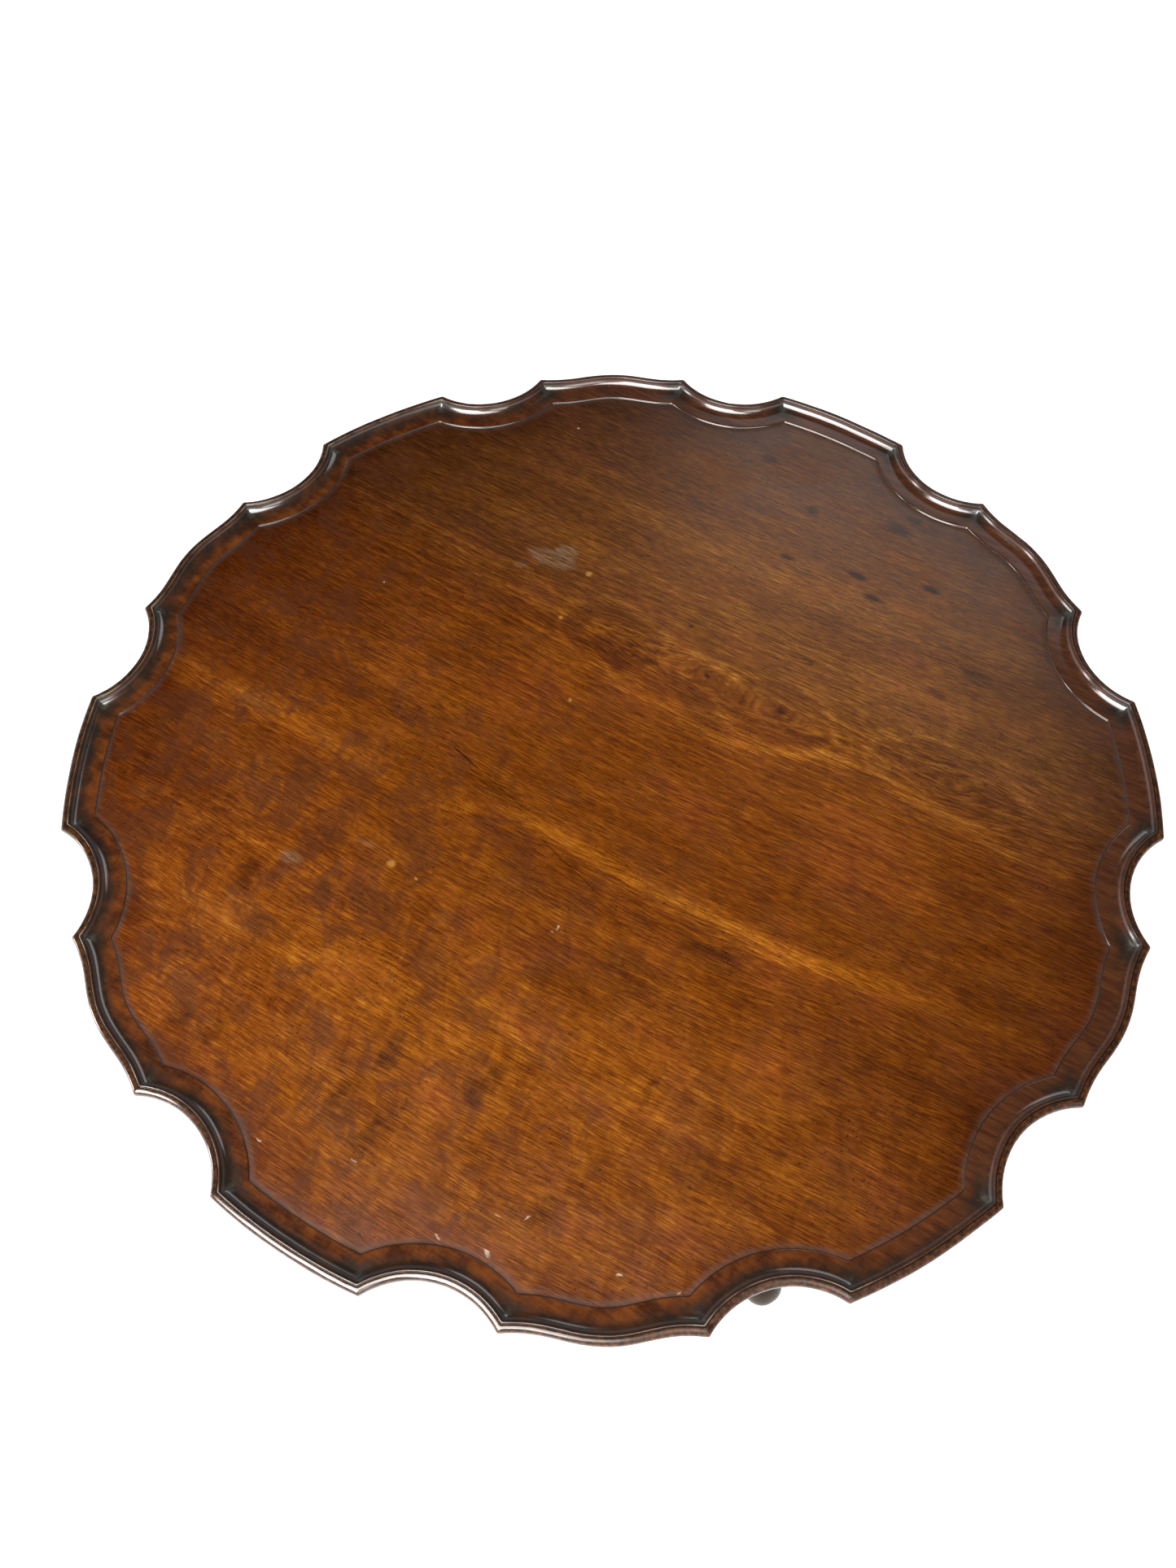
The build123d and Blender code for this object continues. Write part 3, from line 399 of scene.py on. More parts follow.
# ---------------------------------------------------------------- node helper
class Surface:
    """A procedural material; each method adds nodes and gives back the socket to use next."""

    def __init__(self, name):
        self.material = bpy.data.materials.new(name)
        self.material.use_nodes = True
        self.tree = self.material.node_tree
        self.shader = self.tree.nodes["Principled BSDF"]

    def add(self, kind, settings=None, **inputs):
        node = self.tree.nodes.new(kind)
        for key, value in (settings or {}).items():
            setattr(node, key, value)
        for key, value in inputs.items():
            self.feed(node.inputs[key.replace("_", " ")], value)
        return node

    def feed(self, socket, value):
        if isinstance(value, bpy.types.NodeSocket):
            self.tree.links.new(value, socket)
        else:
            socket.default_value = value

    def math(self, operation, *values):
        node = self.tree.nodes.new("ShaderNodeMath")
        node.operation = operation
        for socket, value in zip(node.inputs, values):
            self.feed(socket, value)
        return node.outputs[0]

    def vector(self, operation, *values, output=0):
        node = self.tree.nodes.new("ShaderNodeVectorMath")
        node.operation = operation
        for socket, value in zip(node.inputs, values):
            self.feed(socket, value)
        return node.outputs[output]

    def place(self, vector, location=(0, 0, 0), angle=(0, 0, 0), scale=(1, 1, 1)):
        """The vector seen from a local frame: moved back, turned back and divided by scale."""
        node = self.add("ShaderNodeMapping", {"vector_type": "TEXTURE"}, Vector=vector)
        node.inputs["Location"].default_value = location
        node.inputs["Rotation"].default_value = [radians(a) for a in angle]
        node.inputs["Scale"].default_value = scale
        return node.outputs[0]

    def noise(self, vector, detail=2.0, rough=0.5, bend=0.0):
        node = self.add("ShaderNodeTexNoise", Vector=vector, Scale=1.0, Detail=detail,
                        Roughness=rough, Distortion=bend)
        return node.outputs["Fac"]

    def nearness(self, vector):
        """1 at the origin, falling to 0 at a distance of 1 and beyond."""
        node = self.add("ShaderNodeTexGradient", {"gradient_type": "SPHERICAL"}, Vector=vector)
        return node.outputs["Fac"]

    def between(self, value, low, high, to_low=0.0, to_high=1.0):
        """Smoothly from to_low at low to to_high at high; low may be above high."""
        if low > high:
            low, high, to_low, to_high = high, low, to_high, to_low
        settings = {"interpolation_type": "SMOOTHSTEP", "clamp": False}
        node = self.add("ShaderNodeMapRange", settings, Value=value)
        for key, number in zip(("From Min", "From Max", "To Min", "To Max"), (low, high, to_low, to_high)):
            node.inputs[key].default_value = number
        return node.outputs[0]

    def curve(self, value, points, span, reach):
        """A smooth curve through given (value, result) points; span and reach are their (low, high)."""
        width, height = span[1] - span[0], reach[1] - reach[0]
        node = self.add("ShaderNodeFloatCurve",
                        Value=self.math("MULTIPLY_ADD", value, 1 / width, -span[0] / width))
        line = node.mapping.curves[0]
        scaled = [((p - span[0]) / width, (q - reach[0]) / height) for p, q in points]
        line.points[0].location, line.points[-1].location = scaled[0], scaled[-1]
        for place in scaled[1:-1]:
            line.points.new(*place)
        node.mapping.update()
        return self.math("MULTIPLY_ADD", node.outputs[0], height, reach[0])

    def ramp(self, value, stops):
        node = self.add("ShaderNodeValToRGB", Fac=value)
        elements = node.color_ramp.elements
        while len(elements) < len(stops):
            elements.new(0.5)
        for element, (position, colour) in zip(elements, stops):
            element.position = position
            element.color = (*colour, 1)
        return node.outputs[0]

    def mix(self, factor, a, b, blend="MIX"):
        node = self.tree.nodes.new("ShaderNodeMix")
        node.data_type = "RGBA"
        node.blend_type = blend
        self.feed(node.inputs["Factor"], factor)
        for socket, value in ((node.inputs[6], a), (node.inputs[7], b)):
            self.feed(socket, (*value, 1) if isinstance(value, tuple) else value)
        return node.outputs[2]

    def bump(self, height, strength, distance):
        return self.add("ShaderNodeBump", Height=height, Strength=strength, Distance=distance).outputs[0]

    def total(self, values):
        result = values[0]
        for value in values[1:]:
            result = self.math("ADD", result, value)
        return result

    def strongest(self, values):
        """The largest of some values; a generator keeps each value's nodes next to its use."""
        result = None
        for value in values:
            result = value if result is None else self.math("MAXIMUM", result, value)
        return result

    def finish(self, colour, roughness, normal, **constants):
        self.feed(self.shader.inputs["Base Color"], colour)
        self.feed(self.shader.inputs["Roughness"], roughness)
        self.feed(self.shader.inputs["Normal"], normal)
        for key, value in constants.items():
            self.shader.inputs[key.replace("_", " ")].default_value = value
        return self.material


def wood_grain(surface, along, across, through):
    """Bands, streaks, fibres and pores of mahogany, from coordinates in mm along and across the grain."""
    def stretched(length, width, seed):
        vector = surface.add("ShaderNodeCombineXYZ",
                             X=surface.math("MULTIPLY", along, 1 / length),
                             Y=surface.math("MULTIPLY", across, 1 / width),
                             Z=surface.math("MULTIPLY_ADD", through, 1 / width, seed))
        return vector.outputs[0]

    bands = surface.noise(stretched(260, 26, 1.3), detail=2.0, bend=0.3)
    streaks = surface.noise(stretched(120, 6.5, 7.1), detail=3.0, rough=0.6, bend=0.2)
    fibres = surface.noise(stretched(26, 0.95, 3.7), detail=2.0, rough=0.6)
    pores = surface.noise(stretched(7.5, 0.5, 11.9), detail=1.0)
    return bands, streaks, fibres, pores


SCUFFED = (0.036, 0.021, 0.0115)
SCUFF_TOP, SCUFF_FULL = 0.16, 0.02  # heights above the floor, in m
DIRT = 0.35


def plain_wood(name, axis, tones, roughness, dry=0.0, scuffed=0.0):
    """Mahogany with its grain along an axis of the row frame; scuffed wood is darkened near the floor."""
    s = Surface(name)
    position = s.add("ShaderNodeTexCoord").outputs["Object"]
    turn = Vector(axis).normalized().rotation_difference(Vector((1, 0, 0))).to_matrix()
    rows = [s.vector("DOT_PRODUCT", position, tuple(v / MM for v in row), output=1) for row in turn]
    wander = s.noise(s.place(position, scale=(0.11, 0.11, 0.11)), detail=1.0)
    across = s.math("MULTIPLY_ADD", wander, 14.0, rows[1])
    bands, streaks, fibres, pores = wood_grain(s, rows[0], across, rows[2])
    tone = s.total([
        s.math("MULTIPLY_ADD", bands, 0.5, -0.25),
        s.math("MULTIPLY_ADD", streaks, 0.6, -0.3),
        s.math("MULTIPLY_ADD", fibres, 0.5, 0.25),
    ])
    colour = s.ramp(tone, tones)
    blotch = s.between(s.noise(s.place(position, scale=(0.03, 0.03, 0.03)), detail=4.0), 0.45, 0.75)
    colour = s.mix(s.math("MULTIPLY", blotch, DIRT), colour, (0.35, 0.28, 0.25), "MULTIPLY")
    if scuffed:
        height = s.add("ShaderNodeSeparateXYZ", Vector=position).outputs["Z"]
        low = s.math("MULTIPLY_ADD", blotch, 0.02, height)
        colour = s.mix(s.between(low, SCUFF_TOP, SCUFF_FULL, 0.0, scuffed), colour, SCUFFED)
    fleck = s.between(pores, 0.66, 0.74)
    colour = s.mix(s.math("MULTIPLY", fleck, 0.45), colour, (0.25, 0.2, 0.18), "MULTIPLY")
    gloss = s.total([
        s.math("MULTIPLY_ADD", blotch, 0.12, roughness),
        s.math("MULTIPLY_ADD", fibres, 0.12, -0.06),
    ])
    relief = s.total([
        s.math("MULTIPLY", fibres, 0.5 + dry),
        s.math("MULTIPLY", fleck, -0.6 - dry),
        s.math("MULTIPLY", streaks, 0.3),
    ])
    normal = s.bump(relief, 0.25 + 0.4 * dry, 0.25 * MM)
    return s.finish(colour, gloss, normal, Specular_IOR_Level=0.5 - 0.3 * dry - 0.25 * scuffed)


DARK_POLISH = [(0.25, (0.024, 0.0085, 0.0036)), (0.45, (0.070, 0.0225, 0.0066)),
               (0.6, (0.135, 0.045, 0.0105)), (0.85, (0.25, 0.094, 0.020))]
DRY_WOOD = [(0.25, (0.055, 0.027, 0.015)), (0.5, (0.11, 0.052, 0.027)), (0.8, (0.2, 0.1, 0.05))]
PALE_WOOD = [(0.25, (0.14, 0.075, 0.035)), (0.5, (0.24, 0.14, 0.07)), (0.8, (0.36, 0.23, 0.12))]


# ---------------------------------------------------------------- polished top
# eyes in the grain: centre, half sizes, pull on the grain
EYES = [((35, 112), (120, 34), 0.85), ((245, 130), (72, 30), 0.7)]
# heartwood inside the eyes: x, y, half sizes
EYE_SHADES = [(-62, 112, 44, 30), (-5, 106, 70, 26), (92, 113, 46, 31), (233, 127, 60, 27)]
# knots: x, y, size
KNOTS = [(-44, 112, 5.0), (-37, 104, 2.8), (26, 117, 4.6), (94, 116, 6.0), (-10, 155, 4.4), (94, 172, 4.0)]
# runs of grain: x, y, half height and strength of each station
UPPER_GOLD = [(-400, 98, 5, 0.0), (-180, 96, 5, 0.15), (-100, 90, 5, 0.35), (-60, 85, 5, 0.45),
              (-30, 74, 5, 0.6), (20, 74, 4, 0.7), (70, 71, 6, 0.8), (100, 80, 6, 0.9),
              (130, 93, 6, 0.9), (170, 103, 8, 0.7), (240, 99, 9, 0.6), (300, 93, 7, 0.4),
              (400, 88, 5, 0.0)]
LOWER_GOLD = [(-400, -91, 14, 0.9), (-300, -91, 14, 1.0), (-220, -90, 11, 0.7), (-100, -94, 6, 0.35),
              (-50, -76, 6, 0.5), (0, -72, 8, 0.7), (60, -76, 8, 0.8), (120, -72, 10, 1.0),
              (190, -70, 10, 1.0), (250, -58, 9, 0.75), (300, -52, 8, 0.5), (400, -45, 6, 0.2)]
NEAR_GOLD = [(-400, -205, 8, 0.0), (-300, -208, 9, 0.3), (-160, -196, 12, 0.7), (-60, -205, 12, 0.5),
             (60, -212, 12, 0.6), (170, -190, 14, 0.7), (260, -178, 12, 0.4), (400, -170, 8, 0.0)]
DARK_RUN = [(-400, -45, 14, 0.3), (-250, -40, 18, 0.5), (-100, -60, 16, 0.6), (0, -112, 14, 0.6),
            (110, -100, 12, 0.7), (180, -112, 13, 0.5), (300, -96, 12, 0.3), (400, -90, 8, 0.0)]
# bruises: x, y, half sizes, turn in degrees, strength
BRUISES = [(55, -265, 8, 26, -14, 0.8), (-15, -280, 7, 18, 8, 0.7), (-30, -328, 6, 22, -6, 0.8),
           (5, -340, 6, 20, 5, 0.7), (-165, -335, 9, 14, 20, 0.6), (-135, -330, 7, 14, -10, 0.6),
           (157, -210, 3, 14, 4, 0.7), (137, -315, 9, 12, -25, 0.6), (-191, -219, 8, 14, 12, 0.7),
           (-120, -196, 26, 14, 4, 0.5), (60, -158, 60, 26, 2, 0.35), (100, -140, 34, 18, 0, 0.45),
           (-240, -130, 50, 20, 0, 0.3), (-60, -60, 22, 10, -14, 0.5), (145, -100, 26, 9, 0, 0.7),
           (-150, -250, 24, 12, 0, 0.4), (-240, -278, 20, 16, 30, 0.4), (215, -240, 22, 14, 0, 0.35),
           (90, -225, 30, 10, 0, 0.3), (-335, -150, 18, 30, 0, 0.4), (-120, 260, 30, 14, 0, 0.25)]
# small dark smudges on the far side: x, y, half sizes, strength
SMUDGES = [(149, 292, 13, 5, 0.95), (88, 274, 14, 5, 0.95), (27, 262, 12, 4, 0.85), (109, 259, 12, 5, 0.95),
           (98, 338, 18, 9, 0.75), (105, 355, 12, 5, 0.75), (23, 320, 9, 7, 0.7), (219, 228, 18, 10, 0.5),
           (196, 197, 13, 7, 0.6), (-38, 355, 12, 7, 0.7)]
# rubbed patches, as the bruises are given
PALE_SPOTS = [(-150, 157, 27, 11, 5, 0.75), (-142, 166, 14, 15, 20, 0.75), (-172, -192, 13, 7, 10, 0.55),
              (-128, -152, 12, 3, 10, 0.3), (-170, 138, 8, 5, 30, 0.35)]
# spots of paler polish: x, y, size
GOLD_SPOTS = [(-113, 159, 4.0), (-110, 107, 3.0), (-101, -157, 4.6), (-77, -158, 2.0), (-60, 40, 2.4)]
# chips in the polish: x, y, half sizes, turn
CHIPS = [(118, -359, 4, 1.8, -30), (84, -367, 3.4, 1.0, -20), (90, -378, 4.5, 0.9, 0),
         (200, -326, 3, 1.4, 30), (233, -328, 2.4, 1.2, 0), (239, -316, 2.2, 1.0, 60),
         (111, -335, 3, 0.6, 20), (129, -326, 4, 0.7, 70), (6, -355, 3.6, 0.8, 0),
         (-58, -377, 3, 1.0, -10), (-181, -362, 3.6, 1.1, 10), (37, -137, 1.2, 2.6, 10),
         (35, -142, 1.4, 0.9, 0), (-284, -262, 4, 0.8, -30), (-209, 300, 1.6, 0.9, 0),
         (-262, 62, 1.4, 1.0, 0)]
# thin dark lines: x, y, half length, half width, turn, strength
CRACKS = [(-104, -49, 20, 0.8, -15, 0.9), (24, -91, 66, 0.42, -15.8, 0.85), (-60, -60, 30, 0.35, -13, 0.5),
          (176, -96, 34, 0.4, 8, 0.35), (-20, 33, 24, 0.4, 3, 0.3)]
BOARD_SPAN = (-400, 400)
BAND_REACH = (0, 40)

FIELD_TONES = [(0.0, (0.030, 0.0072, 0.0012)), (0.3, (0.083, 0.020, 0.0020)),
               (0.5, (0.150, 0.041, 0.0030)), (0.7, (0.245, 0.079, 0.0060)), (1.0, (0.46, 0.20, 0.026))]
# what the field's colour is multiplied by in places
EDGE_SHADE = (0.55, 0.52, 0.5)
WARMER = (0.95, 0.86, 0.5)
# painted sheen: greys and blues the far half of the field as its reflection would
FAR_SHEEN_TINT = (1.02, 1.24, 1.9)
REDDER = (1.05, 0.80, 1.15)
SMOKIER = (0.80, 0.84, 1.3)
PORE_SHADE = (0.28, 0.22, 0.3)
SPECK_SHADE = (0.25, 0.22, 0.35)
BRUISE_SHADE = (0.22, 0.2, 0.3)
CRACK_SHADE = (0.15, 0.13, 0.2)
# and what it is replaced by
CLOUDED_POLISH = (0.058, 0.0175, 0.0075)
GOLDEN_POLISH = (0.36, 0.17, 0.035)
RUBBED_WOOD = (0.235, 0.165, 0.098)
CHIPPED_WOOD = (0.46, 0.36, 0.28)
STEP_GRIME = (0.042, 0.019, 0.011)

# the moulding: pairs run from the darker to the lighter tone
NEAR_MOULDING = ((0.030, 0.0080, 0.0036), (0.118, 0.032, 0.0070))
WAXED_MOULDING = ((0.038, 0.0125, 0.0065), (0.068, 0.0225, 0.0095))
LIP_TONES = ((0.017, 0.0062, 0.0026), (0.082, 0.026, 0.0062))
BRIGHT_FIBRE = (0.24, 0.085, 0.016)
DARK_PORE = (0.02, 0.006, 0.002)
# grime and painted shade in the cove
COVE_GRIME_AND_SHADE = (0.0125, 0.0110, 0.0085)
CUSP_BLOOM = (0.075, 0.080, 0.070)
# painted shade with some grime, in the quirk's groove and on the step's face
LINE_SHADE_AND_GRIME = (0.009, 0.0060, 0.0040)
WORN_ARRIS = (0.27, 0.235, 0.17)
WORN_EDGE = (0.24, 0.13, 0.065)


def spot_mask(s, flat, x, y, half_x, half_y, turn=0.0, edge=0.45, strength=1.0):
    """The strength in the middle of an oval, fading to 0 at its edge; flat coordinates have no height."""
    near_spot = s.nearness(s.place(flat, (x, y, 0), (0, 0, turn), (half_x, half_y, 1)))
    return s.between(near_spot, 0.0, 1.0 - edge, 0.0, strength)


def grain_run(s, x, y, stations):
    """A run of lighter or darker grain that follows its stations across the board."""
    middle = s.curve(x, [(p[0], p[1]) for p in stations], BOARD_SPAN, BOARD_SPAN)
    half = s.curve(x, [(p[0], p[2]) for p in stations], BOARD_SPAN, BAND_REACH)
    strength = s.curve(x, [(p[0], p[3]) for p in stations], BOARD_SPAN, (0, 1))
    gap = s.math("DIVIDE", s.math("ABSOLUTE", s.math("SUBTRACT", y, middle)), half)
    return s.math("MULTIPLY", s.between(gap, 1.5, 0.2), strength)


def grain_flow(s, mm, x, y):
    """The across-grain coordinate: lines of equal value are the lines of the grain."""
    ahead = s.math("SUBTRACT", x, 60.0)
    bend = s.math("SQRT", s.math("MULTIPLY_ADD", ahead, ahead, 4900.0))
    across = s.math("MULTIPLY_ADD", s.math("ADD", bend, ahead), -0.03, y)
    knots = [((kx, ky), (4.5 * size, 1.6 * size), 0.4) for kx, ky, size in KNOTS]
    for centre, half, pull in EYES + knots:
        local = s.vector("MULTIPLY_ADD", mm, (1 / half[0], 1 / half[1], 0),
                         (-centre[0] / half[0], -centre[1] / half[1], 0))
        spread = s.math("POWER", s.math("ADD", s.vector("DOT_PRODUCT", local, local, output=1), 1.0), -1.4)
        own = s.add("ShaderNodeSeparateXYZ", Vector=local).outputs["Y"]
        push = s.math("MULTIPLY", s.math("MULTIPLY", own, spread), -half[1] * pull)
        across = s.math("ADD", across, push)
    for shift, length, width, amount in ((0, 420, 70, 16.0), (7, 70, 16, 5.0), (5, 26, 5.5, 1.7)):
        wave = s.noise(s.place(mm, (shift, 3, 1), scale=(length, width, 400)), detail=1.0)
        across = s.math("MULTIPLY_ADD", wave, amount, across)
    return across


def shaken(s, flat, size, amount):
    """The coordinates moved about by noise of a given size, which makes ragged edges."""
    moves = []
    for seed in (3, 17):
        place = s.place(flat, (seed, 7 * seed, seed), scale=(size, size, size))
        moves.append(s.math("MULTIPLY_ADD", s.noise(place, detail=3.0, rough=0.6), amount, -amount / 2))
    return s.vector("ADD", flat, s.add("ShaderNodeCombineXYZ", X=moves[0], Y=moves[1]).outputs[0])


def board_layers(s, flow):
    """What the board's materials share: coordinates in mm and a maker of noise drawn out along the grain."""
    position = s.add("ShaderNodeTexCoord").outputs["Object"]
    mm = s.place(position, scale=(MM, MM, MM))
    x, y, z = s.add("ShaderNodeSeparateXYZ", Vector=mm).outputs
    across = grain_flow(s, mm, x, y) if flow else y

    def layer(length, width, seed, detail=2.0, rough=0.5):
        vector = s.add("ShaderNodeCombineXYZ",
                       X=s.math("DIVIDE", x, length),
                       Y=s.math("DIVIDE", across, width),
                       Z=s.math("MULTIPLY_ADD", z, 1.0 / width, seed))
        return s.noise(vector.outputs[0], detail=detail, rough=rough)

    return mm, x, y, layer


def window(s, value, start, full, falling, end):
    """1 between full and falling, fading to 0 at start and end."""
    return s.math("MULTIPLY", s.between(value, start, full), s.between(value, end, falling))


def polished_field():
    """The dished field: figured mahogany under an old, cloudy and knocked polish."""
    s = Surface("old_polished_mahogany")
    mm, x, y, layer = board_layers(s, flow=True)
    run = s.add("ShaderNodeAttribute", {"attribute_name": "run"}).outputs["Fac"]
    bands = layer(420, 34, 2.0)
    streaks = layer(90, 5.0, 7.1, 3.0, 0.6)
    lines = layer(34, 1.35, 4.4, 3.0, 0.6)
    fibres = layer(12, 0.8, 3.7, 2.0, 0.6)
    pores = layer(6.0, 0.7, 11.9, 1.0)
    growth = layer(260, 3.6, 15.3, 3.0, 0.6)
    # soft bars across the grain, stronger towards the near edge
    bars = s.noise(s.place(mm, (0, 0, 9), (0, 0, 12), (13, 30, 60)), detail=4.0, rough=0.62, bend=1.2)
    near = s.between(y, -40.0, -230.0, 0.35, 1.0)
    cloud = s.noise(s.place(mm, (50, 0, 3), scale=(60, 42, 80)), detail=4.0, rough=0.6)
    ragged_y = s.total([
        y,
        s.math("MULTIPLY_ADD", streaks, 16.0, -8.0),
        s.math("MULTIPLY_ADD", lines, 10.0, -5.0),
    ])
    tone = s.total([
        s.math("MULTIPLY_ADD", bands, 0.30, 0.35),
        s.math("MULTIPLY_ADD", streaks, 0.15, -0.075),
        s.between(lines, 0.33, 0.67, -0.085, 0.085),
        s.between(fibres, 0.34, 0.68, -0.125, 0.145),
        s.math("MULTIPLY", s.between(growth, 0.36, 0.68, -0.5, 0.6), s.between(
            s.math("ABSOLUTE", s.math("SUBTRACT", y, 105.0)), 110.0, 40.0, 0.06, 0.12)),
        s.math("MULTIPLY", s.math("SUBTRACT", bars, 0.5), s.math("MULTIPLY", near, 0.46)),
        s.math("MULTIPLY_ADD", cloud, 0.24, -0.12),
    ])
    runs = ((UPPER_GOLD, 0.20), (LOWER_GOLD, 0.24), (NEAR_GOLD, 0.10), (DARK_RUN, -0.10))
    for stations, amount in runs:
        tone = s.math("MULTIPLY_ADD", grain_run(s, x, ragged_y, stations), amount, tone)
    flat = s.place(mm, scale=(1, 1, 1e6))
    loose = shaken(s, flat, 24, 14)
    for eye in EYE_SHADES:
        near_eye = s.nearness(s.place(loose, (*eye[:2], 0), scale=(1.5 * eye[2], 1.5 * eye[3], 1)))
        inner = s.between(near_eye, 0.30, 0.46, 0.0, -0.055)
        rim = window(s, near_eye, 0.14, 0.26, 0.30, 0.36)
        tone = s.total([tone, inner, s.math("MULTIPLY", rim, s.between(fibres, 0.3, 0.6, 0.02, 0.09))])
    reach = s.vector("LENGTH", flat, output=1)
    edge_fade = s.math("MULTIPLY", s.between(reach, 220.0, 400.0), s.between(y, -320.0, -60.0, 0.4, 1.0))
    # painted shade: the field darkened over the 30 mm beside the step, under the rim
    tone = s.math("MULTIPLY_ADD", s.between(run, 54.0, 24.0), -0.12, tone)
    left_shade = s.math("MULTIPLY", s.between(x, 40.0, -240.0), s.between(y, -130.0, 200.0, 0.0, -0.13))
    tone = s.total([tone, left_shade, s.between(y, -160.0, -260.0, -0.03, 0.07)])
    colour = s.mix(edge_fade, s.ramp(tone, FIELD_TONES), EDGE_SHADE, "MULTIPLY")
    warm = s.math("MULTIPLY", s.between(y, 150.0, 60.0), s.between(x, -260.0, -60.0, 0.3, 1.0))
    colour = s.mix(warm, colour, WARMER, "MULTIPLY")
    # painted sheen: the far half of the field greyed as its sheen would grey it
    colour = s.mix(s.between(y, 80.0, 170.0), colour, FAR_SHEEN_TINT, "MULTIPLY")
    # redder and greyer clouds in the old polish
    red_side = s.between(s.math("MULTIPLY_ADD", y, 0.5, x), -120.0, -420.0)
    redness = s.math("MAXIMUM", s.math("MULTIPLY", red_side, 0.55),
                     s.math("MULTIPLY", s.between(cloud, 0.5, 0.72), 0.5))
    colour = s.mix(redness, colour, REDDER, "MULTIPLY")
    smoky = s.noise(s.place(mm, (9, 90, 5), scale=(90, 60, 80)), detail=3.0)
    colour = s.mix(s.between(smoky, 0.52, 0.7, 0, 0.35), colour, SMOKIER, "MULTIPLY")
    # the old polish has gone cloudy, most of all towards the near left
    mottle = s.noise(s.place(mm, (31, 77, 2), (0, 0, 30), (27, 36, 80)), detail=6.0, rough=0.68, bend=0.5)
    worn_side = s.between(s.math("MULTIPLY_ADD", y, 0.8, x), 120.0, -380.0, 0.3, 0.9)
    cloudy = s.math("MULTIPLY", s.between(mottle, 0.47, 0.60), worn_side)
    colour = s.mix(s.math("MULTIPLY", cloudy, 0.62), colour, CLOUDED_POLISH)
    # pores and specks
    pore_mask = s.between(pores, 0.63, 0.72)
    colour = s.mix(s.math("MULTIPLY", pore_mask, 0.42), colour, PORE_SHADE, "MULTIPLY")
    speck = s.noise(s.place(mm, (3, 8, 0), (0, 0, 20), (3.4, 2.4, 9)), detail=2.0, rough=0.6)
    speck_field = s.noise(s.place(mm, (40, 8, 0), scale=(40, 60, 90)), detail=2.0)
    specks = s.math("MULTIPLY", s.between(speck, 0.62, 0.71), s.between(speck_field, 0.38, 0.58))
    colour = s.mix(s.math("MULTIPLY", specks, 0.7), colour, SPECK_SHADE, "MULTIPLY")
    # knots, bruises, spots, chips and cracks
    warped = shaken(s, flat, 13, 16)
    ragged = shaken(s, flat, 2.6, 3.4)
    bruise = s.strongest(
        spot_mask(s, warped, bx, by, 1.3 * half_x, 1.3 * half_y, turn, 0.4, 0.9 * strength)
        for bx, by, half_x, half_y, turn, strength in BRUISES)
    knot = s.strongest(
        spot_mask(s, ragged, kx, ky, 1.1 * size, 0.9 * size, 0, 0.1)
        for kx, ky, size in KNOTS)
    smudge = s.strongest(
        spot_mask(s, ragged, sx, sy, half_x, half_y, 0, 0.3, strength)
        for sx, sy, half_x, half_y, strength in SMUDGES)
    darkness = s.math("MAXIMUM", bruise, knot)
    darkness = s.math("MULTIPLY", darkness, s.between(streaks, 0.3, 0.6, 0.9, 0.6))
    darkness = s.math("MAXIMUM", darkness, smudge)
    colour = s.mix(darkness, colour, BRUISE_SHADE, "MULTIPLY")
    jagged = shaken(s, flat, 9, 1.6)
    crack = s.strongest(
        spot_mask(s, jagged, cx, cy, half_x, half_y, turn, 0.5, strength)
        for cx, cy, half_x, half_y, turn, strength in CRACKS)
    colour = s.mix(crack, colour, CRACK_SHADE, "MULTIPLY")
    golden = s.strongest(
        spot_mask(s, ragged, gx, gy, size, size, 0, 0.3)
        for gx, gy, size in GOLD_SPOTS)
    colour = s.mix(s.math("MULTIPLY", golden, 0.75), colour, GOLDEN_POLISH)
    rubbed = s.strongest(
        spot_mask(s, ragged, px, py, half_x, half_y, turn, 0.55, strength)
        for px, py, half_x, half_y, turn, strength in PALE_SPOTS)
    rub = s.math("MULTIPLY", rubbed, s.between(fibres, 0.36, 0.62, 0.05, 0.6))
    colour = s.mix(rub, colour, RUBBED_WOOD)
    chip = s.strongest(spot_mask(s, ragged, *place, 0.4) for place in CHIPS)
    chip = s.math("MULTIPLY", chip, s.between(pores, 0.35, 0.55, 0.9, 0.35))
    colour = s.mix(chip, colour, CHIPPED_WOOD)
    # grime along the step
    along = s.noise(s.place(mm, (2, 2, 2), scale=(14, 14, 14)), detail=4.0, rough=0.6)
    halo = s.math("MULTIPLY", s.between(run, 30.5, 24.8), s.between(along, 0.3, 0.65, 0.35, 0.85))
    colour = s.mix(s.math("MULTIPLY", halo, 0.7), colour, STEP_GRIME)
    gloss = s.total([
        s.math("MULTIPLY_ADD", fibres, 0.12, 0.21),
        s.between(cloud, 0.35, 0.75, -0.03, 0.05),
        s.math("MULTIPLY", s.math("MAXIMUM", chip, rub), 0.25),
        s.math("MULTIPLY", halo, 0.3),
    ])
    relief = s.total([
        s.math("MULTIPLY", fibres, 0.35),
        s.math("MULTIPLY", lines, 0.3),
        s.math("MULTIPLY", pore_mask, -0.35),
    ])
    return s.finish(colour, gloss, s.bump(relief, 0.35, 0.12 * MM))


